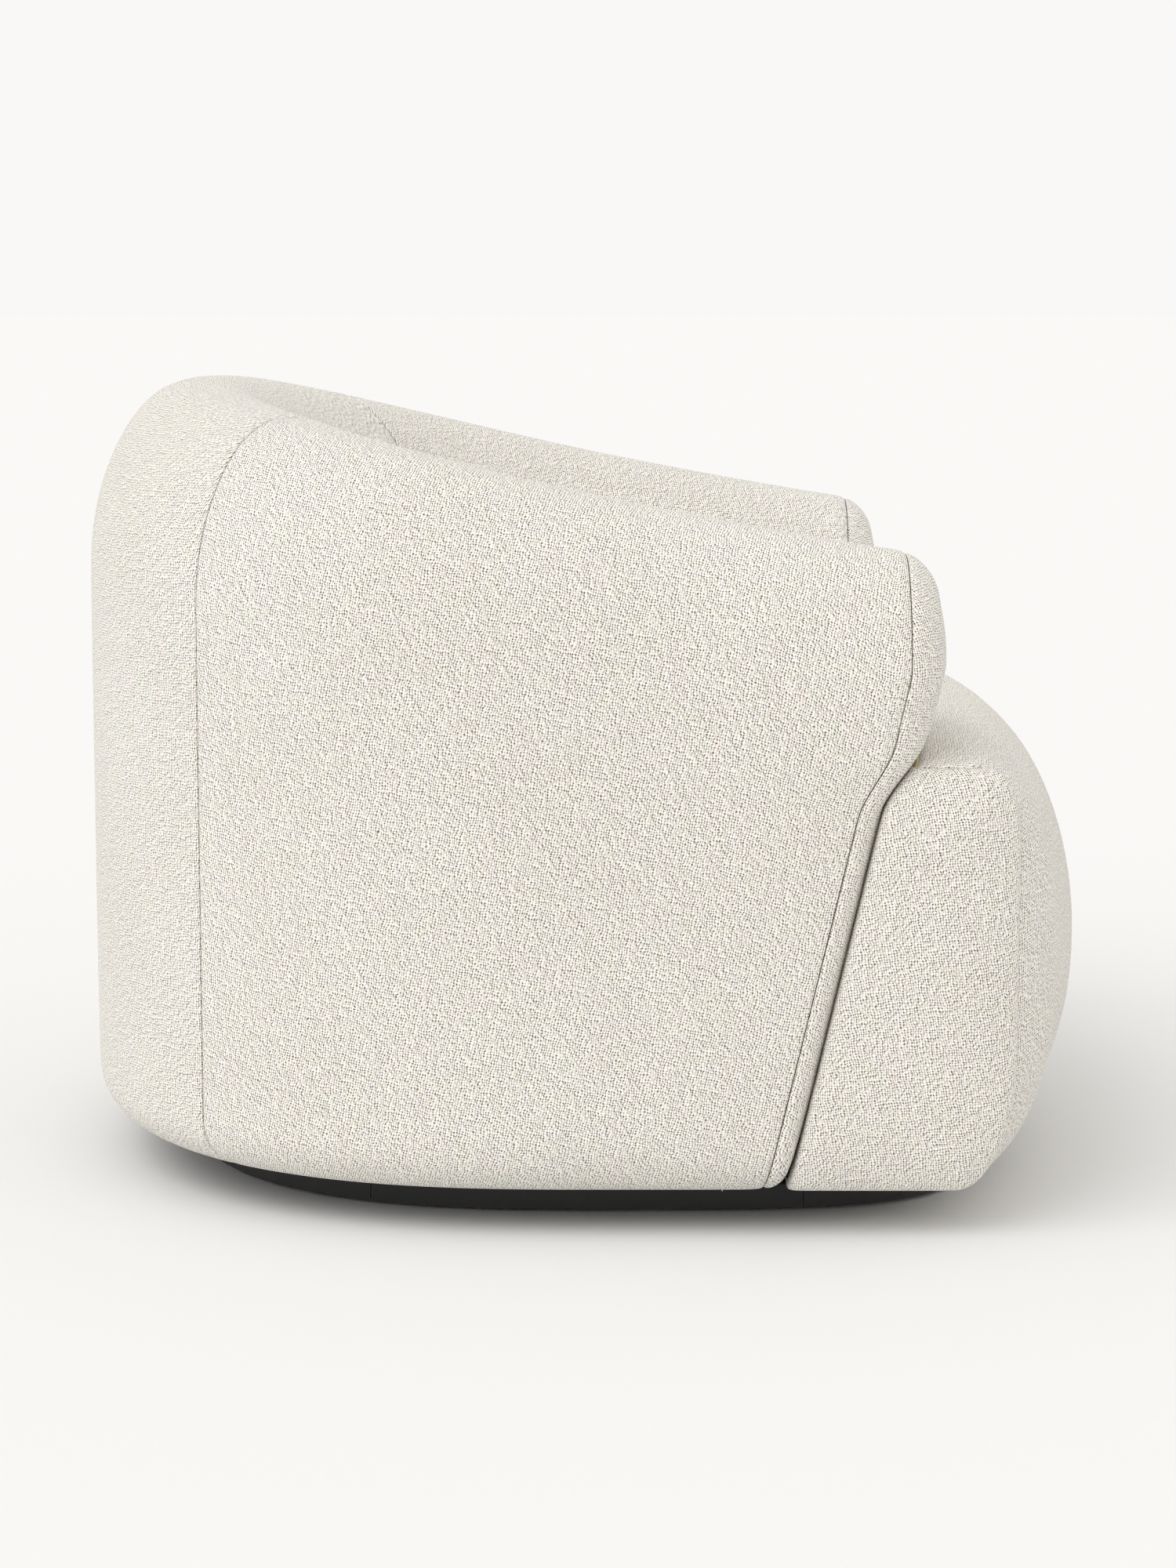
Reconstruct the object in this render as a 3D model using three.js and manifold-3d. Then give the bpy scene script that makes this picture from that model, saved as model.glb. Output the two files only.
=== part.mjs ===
// Upholstered lounge armchair: a padded wrap that forms the back and both arms, and a full-width
// padded seat block that stands in front of the arms. Both units are bolted to a low recessed plinth.
// Millimetres, +Z up. The sitter looks along -Y and the right arm is on the -X side. The origin is
// on the floor under the middle of the chair.
import * as THREE from "three";
import { ParametricGeometry } from "three/addons/geometries/ParametricGeometry.js";
import { mergeVertices } from "three/addons/utils/BufferGeometryUtils.js";
import Module from "manifold-3d";

const wasm = await Module();
wasm.setup();

// Driving dimensions
const WIDTH = 980;
const HEIGHT = 754; // floor to the rim at the middle of the back
const ARM_HEIGHT = 603; // floor to the rim at the front of an arm
const ARM_THICKNESS = 185;
const UNDERSIDE = 38; // floor to the underside of the upholstery
const GAP = 0.3; // clearance between touching pieces
const UNIT_GAP = 2; // clearance between the seat block and the wrap
const FABRIC = 4; // thickness of the cover with its wadding

// Plan of the wrap
const HALF_WIDTH = WIDTH / 2;
const BACK_Y = 486;
const FRONT_Y = -482;
const DEPTH = BACK_Y - FRONT_Y;
const INNER_HALF_WIDTH = HALF_WIDTH - ARM_THICKNESS;
const INNER_BACK_Y = 184; // front of the back pad at seat height
const RECLINE = 0.27; // run of the back pad per unit of rise above the seat
const RECLINE_START = 445;
const PLAN_POWER = 2.5; // exponent of the superellipse that the back follows
const NOSE_Y = -315; // front of an arm at its fullest height
const CURVED_SHARE = 0.6; // share of the half wrap that is curved
const PANEL_SEAM = 0.319; // place of the seam between back and arm panels

// Shape of an arm front: it leans back towards the floor, with a soft step above the seat's wing
const LEAN = 0.235;
const LEAN_TOP = 508;
const STEP = 27;
const STEP_TOP = 450;
const STEP_RUN = 65;
const STEP_LEVELS = [1, 0.75, 0.5, 0.25, 0].map((share) => STEP_TOP - share * STEP_RUN);
const LEAN_START_Y = -90;
const LEAN_FULL_Y = -290;
const NOSE_RADIUS = 38;
const LEAN_LEVELS = [0, 387, 403, 419, 436, 452, LEAN_TOP]; // heights where the leaning cut bends
const NOSE_SEAM_Y = -288;
const RIM_FULLNESS = 0.94; // width of a rim's round edge as a share of half the thickness
const ARM_RIM_DROP = 120; // height of the round edge of an arm's rim
const BACK_RIM_DROP = 175;
const HEM_RADIUS = 45; // round edge along the bottom of the wrap
const LEAST_RADIUS = 8;
const ARM_STEPS = 10;
const BACK_STEPS = 13;
const PAST = 0.05; // how far a cutting shape runs past an end
const TRIM = 40; // length trimmed off an arm's padding to follow its leaning front

// Structure inside the wrap
const SLOT_INSET = 64.5; // outer surface to the slot that the frame stands in
const SLOT_WIDTH = 56;
const SLOT_TOP = 95; // rim to the top of the slot
const SLOT_END_Y = NOSE_Y + 55;
const RAIL_INSET = SLOT_INSET + 3;
const RAIL_WIDTH = SLOT_WIDTH - 6;
const RAIL_HEIGHT = 34;
const BOARD_INSET = 60;
const BOARD_WIDTH = 80;
const HEM_RETURN = 70; // outer face to the edge of the fabric stapled under the board
const BOARD_THICKNESS = 15;
const BOARD_TOP = UNDERSIDE + FABRIC + GAP + BOARD_THICKNESS;
const ARM_FRAME_START = 0.34; // place where an arm's board and rail meet the back's
const ARM_FRAME_END = placeOfY(SLOT_END_Y + 12);
const BACK_FRAME_END = ARM_FRAME_START - 0.002;
const POST_SIZE = 40;
const POST_CLEARANCE = 10; // top of a post to the rail above it
const ARM_FRONT_POST_Y = -70;
const ARM_REAR_POST_PLACE = 0.5;
const BACK_POST_PLACE = 0.2;
const STRAP_THICKNESS = 2.5;
const STRAP_WIDTH = 50;
const BACK_STRAP_INSET = SLOT_INSET + SLOT_WIDTH - 5;
const BACK_STRAP_BOTTOMS = [330, 450];
const BACK_STRAP_END = 0.25;
const BACK_STRAP_STEPS = 8;

// Seat block
const SEAT_HALF_WIDTH = HALF_WIDTH - 2;
const SEAT_SEAM_X = 466; // seam between the main panel and a side panel
const SEAT_BOW = 55; // how far the middle of the front stands ahead of its corners
const SEAT_CORNER = 110;
const SEAT_HEIGHT = 449;
const SIDE_TOP_Z = 424; // top of the side panels
const CROWN_POWER = 2.3;
const CROWN_FULLNESS = 0.62;
const ROLL_FULLNESS = 0.8;
const ROLL_STEPS = 5;
const SEAT_SPOTS = [60, 150, 235, 310, 370, 410, 440, 458, SEAT_SEAM_X];
const SIDE_SPOTS = [0.45, 0.77, 0.95, 1]; // shares of a side panel's swell
const TOP_ROLL = [135, 235]; // depth and height of the roll at the middle of the front
const LOW_ROLL = [125, 172];
const SIDE_TOP_ROLL = [30, 55]; // the same at the side seams
const SIDE_LOW_ROLL = [55, 120];
const SIDE_EDGE = 55; // width of the round edge of a side panel
const DECK_Z = 144; // top of the seat rails
const FRAME_HALF_WIDTH = 290;
const FRAME_FRONT_Y = -325;
const FRAME_BACK_Y = 60;
const RAIL_THICKNESS = 25;
const SEAT_HEM = 8; // width of the fabric stapled under the seat rails
const CORNER_BLOCK_LEG = 60;
const CORNER_BLOCK_FOOT = 10; // bottom of the rails to the bottom of a corner block
const CORNER_BLOCK_HEAD = 12; // top of a corner block to the top of the rails
const CROSS_STRAP_SPOTS = [-285, -25]; // front edge of each strap across the seat
const LONG_STRAP_SPOTS = [-215, -90, 40, 165]; // right edge of each strap from front to back
const WELL_SHARES = [0, 0.15, 0.3, 0.5, 0.7, 0.85]; // corners of the curve behind the seat block

// Plinth
const PLINTH_TOP = 36;
const PLINTH_INSET = 100;
const PLINTH_RING = 135;
const PLINTH_SPLIT_Y = 200;
const PLINTH_STEPS = 40;
const PLINTH_FRONT_POWER = 4; // the plinth's front is squarer than its back
const DUST_COVER_INSET = 55;
const DUST_COVER_FRONT_INSET = 125;
const GLIDE_HEIGHT = 4;
const GLIDE_RADIUS = 22;
const GLIDE_SIDES = 24;
const GLIDE_SPOTS = [
  ["front_left", 250, -285],
  ["front_right", -250, -285],
  ["rear_left", 215, 235],
  ["rear_right", -215, 235],
];
const BOLT_RADIUS = 4;
const BOLT_HEAD_RADIUS = 8;
const BOLT_HEAD_HEIGHT = 5;
const BOLT_SIDES = 10;
const WRAP_BOLT_LENGTH_SPARE = 1; // end of a wrap bolt to the top of the board
const SEAT_BOLT_TOP = DECK_Z - 50;
const WRAP_BOLT_SPOTS = [
  [-379, -60],
  [379, -60],
  [-90, 368],
  [90, 368],
];
const SEAT_BOLT_SPOTS = [
  [-277, -230],
  [277, -230],
  [-277, 10],
  [277, 10],
];

const FABRIC_LOOK = { color: 0xe9e5dc, roughness: 0.95, metalness: 0 };
const FOAM_LOOK = { color: 0xe8dcae, roughness: 0.95, metalness: 0 };
const TIMBER_LOOK = { color: 0xc79f6c, roughness: 0.7, metalness: 0 };
const WEBBING_LOOK = { color: 0x8a6a45, roughness: 0.9, metalness: 0 };
const PLINTH_LOOK = { color: 0x151515, roughness: 0.6, metalness: 0 };
const FELT_LOOK = { color: 0x1c1c1c, roughness: 1, metalness: 0 };
const STEEL_LOOK = { color: 0xa9adb0, roughness: 0.35, metalness: 1 };

const chair = new THREE.Group();

// ---- Solids ----

function toSolid(geometry) {
  const bare = geometry.clone();
  bare.deleteAttribute("normal");
  bare.deleteAttribute("uv");
  const merged = mergeVertices(bare, 1e-3);
  const corners = merged.index.array;
  const kept = [];
  for (let i = 0; i < corners.length; i += 3) {
    const [a, b, c] = corners.subarray(i, i + 3);
    if (a !== b && b !== c && c !== a) kept.push(a, b, c);
  }
  return new wasm.Manifold(
    new wasm.Mesh({
      numProp: 3,
      vertProperties: merged.attributes.position.array,
      triVerts: new Uint32Array(kept),
    }),
  );
}

function toGeometry(solid) {
  const mesh = solid.getMesh();
  const geometry = new THREE.BufferGeometry();
  geometry.setAttribute("position", new THREE.BufferAttribute(mesh.vertProperties, 3));
  geometry.setIndex(new THREE.BufferAttribute(mesh.triVerts, 1));
  geometry.computeVertexNormals();
  return geometry;
}

function addPiece(name, solid, look) {
  const mesh = new THREE.Mesh(toGeometry(solid), new THREE.MeshStandardMaterial(look));
  mesh.name = name;
  chair.add(mesh);
}

function box(low, high) {
  const size = high.clone().sub(low);
  const geometry = new THREE.BoxGeometry(size.x, size.y, size.z);
  geometry.translate(...low.clone().add(high).multiplyScalar(0.5).toArray());
  return toSolid(geometry);
}

function boxBetween(x0, x1, y0, y1, z0, z1) {
  return box(new THREE.Vector3(x0, y0, z0), new THREE.Vector3(x1, y1, z1));
}

function uprightCylinder(radius, x, y, z0, z1, sides) {
  const geometry = new THREE.CylinderGeometry(radius, radius, z1 - z0, sides);
  geometry.rotateX(Math.PI / 2);
  geometry.translate(x, y, (z0 + z1) / 2);
  return toSolid(geometry);
}

function prism(shape, z0, z1) {
  const geometry = new THREE.ExtrudeGeometry(shape, { depth: z1 - z0, bevelEnabled: false });
  geometry.translate(0, 0, z0);
  return toSolid(geometry);
}

// A closed solid through rings of points, each ring with the same number of points, with flat ends.
function solidThroughRings(rings) {
  const count = rings[0].length;
  const middles = [rings[0], rings.at(-1)].map((ring) =>
    ring.reduce((sum, p) => sum.add(p), new THREE.Vector3()).divideScalar(count),
  );
  const stacks = rings.length + 1;
  const place = (u, v, target) => {
    const row = Math.round(v * stacks);
    if (row === 0) target.copy(middles[0]);
    else if (row === stacks) target.copy(middles[1]);
    else target.copy(rings[row - 1][Math.round(u * count) % count]);
  };
  const solid = toSolid(new ParametricGeometry(place, count, stacks));
  if (solid.volume() > 0) return solid;
  return toSolid(new ParametricGeometry((u, v, target) => place(1 - u, v, target), count, stacks));
}

// ---- The wrap's plan and rim ----
// A place along the wrap is a number from -1, the right arm's front, through 0, the middle of the
// back, to 1, the left arm's front.

function superellipse(angle, halfX, halfY, power) {
  return new THREE.Vector2(
    halfX * Math.sin(angle) ** (2 / power),
    halfY * Math.max(Math.cos(angle), 0) ** (2 / power),
  );
}

function placeOfY(y) {
  return CURVED_SHARE + ((1 - CURVED_SHARE) * y) / NOSE_Y;
}

function planPoint(place, halfX, backY) {
  const along = Math.abs(place);
  const side = Math.sign(place);
  if (along >= CURVED_SHARE) {
    return new THREE.Vector2(side * halfX, (NOSE_Y * (along - CURVED_SHARE)) / (1 - CURVED_SHARE));
  }
  const angle = ((along / CURVED_SHARE) * Math.PI) / 2;
  const point = superellipse(angle, halfX, backY, PLAN_POWER);
  return point.setX(point.x * side);
}

function outerPoint(place, inset) {
  return planPoint(place, HALF_WIDTH - inset, BACK_Y - inset);
}

function innerPoint(place, z, inset) {
  const backY = INNER_BACK_Y + RECLINE * Math.max(0, z - RECLINE_START);
  return planPoint(place, INNER_HALF_WIDTH + inset, backY + inset);
}

// 0 at the front of an arm, 1 at the middle of the back.
function backness(place) {
  const crest = outerPoint(place, ARM_THICKNESS / 2).y;
  const crestBack = BACK_Y - ARM_THICKNESS / 2;
  return THREE.MathUtils.clamp((crest - NOSE_Y) / (crestBack - NOSE_Y), 0, 1);
}

function rimHeight(place) {
  const share = backness(place);
  return ARM_HEIGHT + (HEIGHT - ARM_HEIGHT) * (0.75 * share + 0.25 * share ** 2);
}

// How far back the front of an arm stands at a height.
function leanLine(z) {
  const step = STEP * THREE.MathUtils.smoothstep(STEP_TOP - z, 0, STEP_RUN);
  return LEAN * Math.max(0, LEAN_TOP - z) + step;
}

function leanAt(y, z) {
  return THREE.MathUtils.smoothstep(-y, -LEAN_START_Y, -LEAN_FULL_Y) * leanLine(z);
}

// ---- Sections across the wrap ----

// Points of an upright section: x is the distance in from the outer face, y is height.
function sectionPoints(width, bottom, top, rimWidth, rimDrop, hemRadius) {
  const hemZ = bottom + hemRadius;
  const rimZ = top - rimDrop;
  const innerHem = new THREE.Shape();
  innerHem.absarc(width - hemRadius, hemZ, hemRadius, -Math.PI / 2, 0, false);
  const rim = new THREE.Shape();
  rim.absellipse(width - rimWidth, rimZ, rimWidth, rimDrop, 0, Math.PI / 2, false, 0);
  rim.absellipse(rimWidth, rimZ, rimWidth, rimDrop, Math.PI / 2, Math.PI, false, 0);
  const outerHem = new THREE.Shape();
  outerHem.absarc(hemRadius, hemZ, hemRadius, Math.PI, 1.5 * Math.PI, false);
  return [
    ...innerHem.getPoints(2),
    ...STEP_LEVELS.map((z) => new THREE.Vector2(width, z)),
    ...rim.getPoints(2),
    ...STEP_LEVELS.toReversed().map((z) => new THREE.Vector2(0, z)),
    ...outerHem.getPoints(2),
  ];
}

// One ring of the padded wrap, drawn in by inset all round.
function padRing(place, inset) {
  const thickness = outerPoint(place, 0).distanceTo(innerPoint(place, HEIGHT, 0));
  const width = thickness - 2 * inset;
  const drop = THREE.MathUtils.lerp(ARM_RIM_DROP, BACK_RIM_DROP, backness(place));
  const points = sectionPoints(
    width,
    UNDERSIDE + inset,
    rimHeight(place) - inset,
    (RIM_FULLNESS * thickness) / 2 - inset,
    drop - inset,
    Math.max(HEM_RADIUS - inset, LEAST_RADIUS),
  );
  return points.map((p) => {
    const outer = outerPoint(place, inset);
    const spot = outer.lerp(innerPoint(place, p.y, inset), p.x / width);
    return new THREE.Vector3(spot.x, spot.y + leanAt(spot.y, p.y), p.y);
  });
}

// One ring of a board or rail: a plain rectangle between two insets from the outer face.
function boardRing(place, inset, width, bottom, top) {
  const outer = outerPoint(place, inset);
  const inner = outerPoint(place, inset + width);
  const corners = [
    [outer, bottom],
    [inner, bottom],
    [inner, top],
    [outer, top],
  ];
  return corners.map(([p, z]) => new THREE.Vector3(p.x, p.y + leanAt(p.y, z), z));
}

function placesBetween(from, to, count) {
  return Array.from({ length: count + 1 }, (_, i) => THREE.MathUtils.lerp(from, to, i / count));
}

// The padded wrap through a list of places.
function pad(places, inset) {
  return solidThroughRings(places.map((place) => padRing(place, inset)));
}

// An arm's padding, whose free front is rounded by the nose radius.
function armPad(side, places, inset) {
  const radius = NOSE_RADIUS - inset;
  const rings = places.map((place) => padRing(side * place, inset));
  for (const angle of [0.25, 0.5, 0.75, 1].map((share) => (share * Math.PI) / 2)) {
    const place = placeOfY(NOSE_Y + inset + radius * (1 - Math.sin(angle)));
    rings.push(padRing(side * place, inset + radius * (1 - Math.cos(angle))));
  }
  rings.push(padRing(side * placeOfY(NOSE_Y + inset - TRIM), NOSE_RADIUS));
  return solidThroughRings(rings).subtract(aheadOf(NOSE_Y + inset));
}

function boardAlong(places, inset, width, bottom, top) {
  return solidThroughRings(
    places.map((place) => boardRing(place, inset, width, bottom(place), top(place))),
  );
}

// ---- The wrap ----

function level(height) {
  return () => height;
}

function hemOpening(places) {
  const width = BOARD_WIDTH - 2 * (HEM_RETURN - BOARD_INSET);
  return boardAlong(places, HEM_RETURN, width, level(UNDERSIDE - 8), level(BOARD_TOP));
}

function frameSlot(places) {
  const top = (place) => rimHeight(place) - SLOT_TOP;
  return boardAlong(places, SLOT_INSET, SLOT_WIDTH, level(UNDERSIDE), top);
}

function belowBoard() {
  return boxBetween(-WIDTH, WIDTH, -DEPTH, DEPTH, 0, BOARD_TOP + GAP);
}

// Everything behind the two seams between the back panel and the arm panels, moved back by a distance.
function behindSeams(moved) {
  const outer = outerPoint(PANEL_SEAM, 0);
  const along = outer.clone().sub(innerPoint(PANEL_SEAM, HEIGHT, 0));
  const apex = outer.y - (along.y * outer.x) / along.x + moved;
  const reach = (2 * WIDTH) / along.x;
  const wedge = new THREE.Shape();
  wedge.moveTo(0, apex);
  wedge.lineTo(along.x * reach, apex + along.y * reach);
  wedge.lineTo(-along.x * reach, apex + along.y * reach);
  return prism(wedge, -HEIGHT, 2 * HEIGHT);
}

function addBack() {
  const end = PANEL_SEAM + PAST;
  const places = placesBetween(-end, end, BACK_STEPS);
  const longer = [-end - PAST, ...places, end + PAST];
  const region = behindSeams(GAP);
  const cover = pad(places, 0).subtract(pad(longer, FABRIC)).subtract(hemOpening(longer));
  addPiece("back_cover", cover.intersect(region), FABRIC_LOOK);
  const foam = pad(places, FABRIC + GAP).subtract(frameSlot(longer)).subtract(belowBoard());
  addPiece("back_foam", foam.intersect(region), FOAM_LOOK);
}

function addArm(side, hand) {
  const start = PANEL_SEAM - PAST;
  const places = placesBetween(start, placeOfY(NOSE_Y + NOSE_RADIUS), ARM_STEPS);
  const longer = [start - PAST, ...places];
  const slotPlaces = placesBetween(start, placeOfY(SLOT_END_Y), ARM_STEPS);
  const opening = [start - PAST, ...slotPlaces].map((place) => side * place);
  const region = behindSeams(-GAP);
  const shell = armPad(side, places, 0).subtract(armPad(side, longer, FABRIC));
  const cover = shell.subtract(hemOpening(opening)).subtract(region);
  addPiece(`arm_cover_${hand}`, cover.subtract(aheadOf(NOSE_SEAM_Y)), FABRIC_LOOK);
  const front = cover.intersect(aheadOf(NOSE_SEAM_Y - GAP));
  addPiece(`arm_front_cover_${hand}`, front, FABRIC_LOOK);
  const foam = armPad(side, places, FABRIC + GAP).subtract(frameSlot(opening)).subtract(region);
  const clear = belowBoard().add(aheadOf(NOSE_Y + 2 * FABRIC));
  addPiece(`arm_foam_${hand}`, foam.subtract(clear), FOAM_LOOK);
}

// Everything ahead of a line that leans back with the arm fronts.
function aheadOf(y) {
  const side = new THREE.Shape();
  side.moveTo(-DEPTH, 0);
  for (const z of LEAN_LEVELS) {
    side.lineTo(y + leanLine(z), z);
  }
  side.lineTo(y, 2 * HEIGHT);
  side.lineTo(-DEPTH, 2 * HEIGHT);
  side.closePath();
  const geometry = new THREE.ExtrudeGeometry(side, { depth: 2 * WIDTH, bevelEnabled: false });
  const turn = new THREE.Matrix4().makeBasis(
    new THREE.Vector3(0, 1, 0),
    new THREE.Vector3(0, 0, 1),
    new THREE.Vector3(1, 0, 0),
  );
  geometry.applyMatrix4(turn);
  geometry.translate(-WIDTH, 0, 0);
  return toSolid(geometry);
}

// A post stands on the base board, turned square to the outer face.
function addPost(name, place) {
  const foot = outerPoint(place, SLOT_INSET + SLOT_WIDTH / 2);
  const ahead = outerPoint(place + 0.01, SLOT_INSET + SLOT_WIDTH / 2);
  const turn = Math.atan2(ahead.y - foot.y, ahead.x - foot.x);
  const low = BOARD_TOP + GAP;
  const high = rimHeight(place) - SLOT_TOP - RAIL_HEIGHT - POST_CLEARANCE;
  const geometry = new THREE.BoxGeometry(POST_SIZE, POST_SIZE, high - low);
  geometry.rotateZ(turn);
  geometry.translate(foot.x, foot.y, (low + high) / 2);
  addPiece(name, toSolid(geometry), TIMBER_LOOK);
}

function addFramePart(prefix, places, suffix) {
  const boardBottom = level(BOARD_TOP - BOARD_THICKNESS);
  const board = boardAlong(places, BOARD_INSET, BOARD_WIDTH, boardBottom, level(BOARD_TOP));
  addPiece(`${prefix}_base_board${suffix}`, board.subtract(boltHoles()), TIMBER_LOOK);
  const top = (place) => rimHeight(place) - SLOT_TOP - 4;
  const bottom = (place) => top(place) - RAIL_HEIGHT;
  const rail = boardAlong(places, RAIL_INSET, RAIL_WIDTH, bottom, top);
  addPiece(`${prefix}_top_rail${suffix}`, rail, TIMBER_LOOK);
}

function addBackStrap(name, bottom) {
  const places = placesBetween(-BACK_STRAP_END, BACK_STRAP_END, BACK_STRAP_STEPS);
  const top = level(bottom + STRAP_WIDTH);
  const strap = boardAlong(places, BACK_STRAP_INSET, STRAP_THICKNESS, level(bottom), top);
  addPiece(name, strap, WEBBING_LOOK);
}

// ---- The seat block ----

// Plan of the seat's front at its fullest: a shallow bow between two round corners.
function seatFrontY(x) {
  const cornerX = SEAT_HALF_WIDTH - SEAT_CORNER;
  const ahead = FRONT_Y + SEAT_BOW;
  if (x <= cornerX) return FRONT_Y + SEAT_BOW * (x / cornerX) ** 2;
  return ahead + SEAT_CORNER - Math.sqrt(SEAT_CORNER ** 2 - (x - cornerX) ** 2);
}

// A quarter of an ellipse as steps inwards and along, from the flat face to the flat top.
function quarterRoll(depth, height) {
  const angles = placesBetween(0, Math.PI / 2, ROLL_STEPS);
  return angles.map((a) => [depth * (1 - Math.cos(a)), height * Math.sin(a)]);
}

// Profile of the block at x, seen from its side, drawn in by an inset.
function seatRing(x, inset) {
  const across = Math.min(Math.abs(x), SEAT_SEAM_X);
  const puff = Math.max(1 - (across / SEAT_SEAM_X) ** CROWN_POWER, 0) ** CROWN_FULLNESS;
  const share = puff ** ROLL_FULLNESS;
  const past = Math.max(Math.abs(x) - SEAT_SEAM_X, 0) / (SEAT_HALF_WIDTH - inset - SEAT_SEAM_X);
  const drawn = inset + SIDE_EDGE * (1 - Math.sqrt(1 - Math.min(past, 1) ** 2));
  const front = seatFrontY(across) + drawn;
  const top = THREE.MathUtils.lerp(SIDE_TOP_Z, SEAT_HEIGHT, puff) - drawn;
  const bottom = UNDERSIDE + drawn;
  const size = (side, middle) =>
    side.map((value, i) => THREE.MathUtils.lerp(value, middle[i], share) - drawn)
      .map((value) => Math.max(value, LEAST_RADIUS));
  const [lowDepth, lowHeight] = size(SIDE_LOW_ROLL, LOW_ROLL);
  const [topDepth, topHeight] = size(SIDE_TOP_ROLL, TOP_ROLL);
  const low = quarterRoll(lowDepth, lowHeight).map(([y, z]) => [front + y, bottom + lowHeight - z]);
  const high = quarterRoll(topDepth, topHeight).map(([y, z]) => [front + y, top - topHeight + z]);
  const profile = [[INNER_BACK_Y, bottom], ...low.reverse(), ...high, [INNER_BACK_Y, top]];
  return profile.map(([y, z]) => new THREE.Vector3(x, y, z));
}

function seatBlock(inset) {
  const swell = SEAT_HALF_WIDTH - inset - SEAT_SEAM_X;
  const half = [...SEAT_SPOTS, ...SIDE_SPOTS.map((share) => SEAT_SEAM_X + share * swell)];
  const spots = [...half.map((x) => -x).reverse(), ...half];
  return solidThroughRings(spots.map((x) => seatRing(x, inset)));
}

// The space between the arms that the rear of the seat block fills.
function seatWell(clearance) {
  const halfX = INNER_HALF_WIDTH - clearance;
  const backY = INNER_BACK_Y - clearance;
  const shape = new THREE.Shape();
  shape.moveTo(halfX, FRONT_Y);
  for (const share of WELL_SHARES) {
    const p = superellipse(((1 - share) * Math.PI) / 2, halfX, backY, PLAN_POWER);
    shape.lineTo(p.x, p.y);
  }
  for (const share of [1, ...WELL_SHARES.toReversed()]) {
    const p = superellipse(((1 - share) * Math.PI) / 2, halfX, backY, PLAN_POWER);
    shape.lineTo(-p.x, p.y);
  }
  shape.lineTo(-halfX, FRONT_Y);
  return prism(shape, 0, HEIGHT);
}

function seatSolid(inset) {
  const clearance = UNIT_GAP + inset;
  const space = seatWell(clearance).add(aheadOf(NOSE_Y - clearance));
  return seatBlock(inset).intersect(space);
}

function addSeatPadding() {
  const bottom = UNDERSIDE + FABRIC + GAP;
  const deck = DECK_Z + 2 * STRAP_THICKNESS + 2 * GAP;
  const hemX = FRAME_HALF_WIDTH - SEAT_HEM;
  const hemFront = FRAME_FRONT_Y + SEAT_HEM;
  const opening = boxBetween(-hemX, hemX, hemFront, FRAME_BACK_Y - SEAT_HEM, 0, bottom);
  const cover = seatSolid(0).subtract(seatSolid(FABRIC)).subtract(opening);
  const left = boxBetween(SEAT_SEAM_X, WIDTH, -DEPTH, DEPTH, 0, HEIGHT);
  const right = boxBetween(-WIDTH, -SEAT_SEAM_X, -DEPTH, DEPTH, 0, HEIGHT);
  const middleEdge = SEAT_SEAM_X - GAP;
  const middle = boxBetween(-middleEdge, middleEdge, -DEPTH, DEPTH, 0, HEIGHT);
  addPiece("seat_cover", cover.intersect(middle), FABRIC_LOOK);
  addPiece("seat_side_cover_left", cover.intersect(left), FABRIC_LOOK);
  addPiece("seat_side_cover_right", cover.intersect(right), FABRIC_LOOK);

  const foam = seatSolid(FABRIC + GAP);
  const upper = boxBetween(-WIDTH, WIDTH, -DEPTH, DEPTH, deck + GAP, HEIGHT);
  addPiece("seat_foam", foam.intersect(upper), FOAM_LOOK);
  const wingX = FRAME_HALF_WIDTH + GAP;
  const front = boxBetween(-wingX, wingX, -DEPTH, FRAME_FRONT_Y - GAP, 0, deck);
  addPiece("seat_front_foam", foam.intersect(front), FOAM_LOOK);
  const wingFront = aheadOf(NOSE_Y - FABRIC - 2);
  const wingLeft = boxBetween(wingX + GAP, WIDTH, -DEPTH, 0, 0, deck);
  const wingRight = boxBetween(-WIDTH, -wingX - GAP, -DEPTH, 0, 0, deck);
  const wings = foam.intersect(wingFront);
  addPiece("seat_wing_foam_left", wings.intersect(wingLeft), FOAM_LOOK);
  addPiece("seat_wing_foam_right", wings.intersect(wingRight), FOAM_LOOK);
}

function addSeatFrame() {
  const low = UNDERSIDE + FABRIC + 2 * GAP;
  const side = FRAME_HALF_WIDTH;
  const inner = side - RAIL_THICKNESS;
  const front = FRAME_FRONT_Y;
  const back = FRAME_BACK_Y;
  const holes = boltHoles();
  const left = boxBetween(inner, side, front, back, low, DECK_Z).subtract(holes);
  const right = boxBetween(-side, -inner, front, back, low, DECK_Z).subtract(holes);
  addPiece("seat_side_rail_left", left, TIMBER_LOOK);
  addPiece("seat_side_rail_right", right, TIMBER_LOOK);
  const between = inner - GAP;
  const frontRail = boxBetween(-between, between, front, front + RAIL_THICKNESS, low, DECK_Z);
  const rearRail = boxBetween(-between, between, back - RAIL_THICKNESS, back, low, DECK_Z);
  addPiece("seat_front_rail", frontRail, TIMBER_LOOK);
  addPiece("seat_rear_rail", rearRail, TIMBER_LOOK);
  addCornerBlocks(between, low);
  addSeatWebbing(side, front, back);
}

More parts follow.
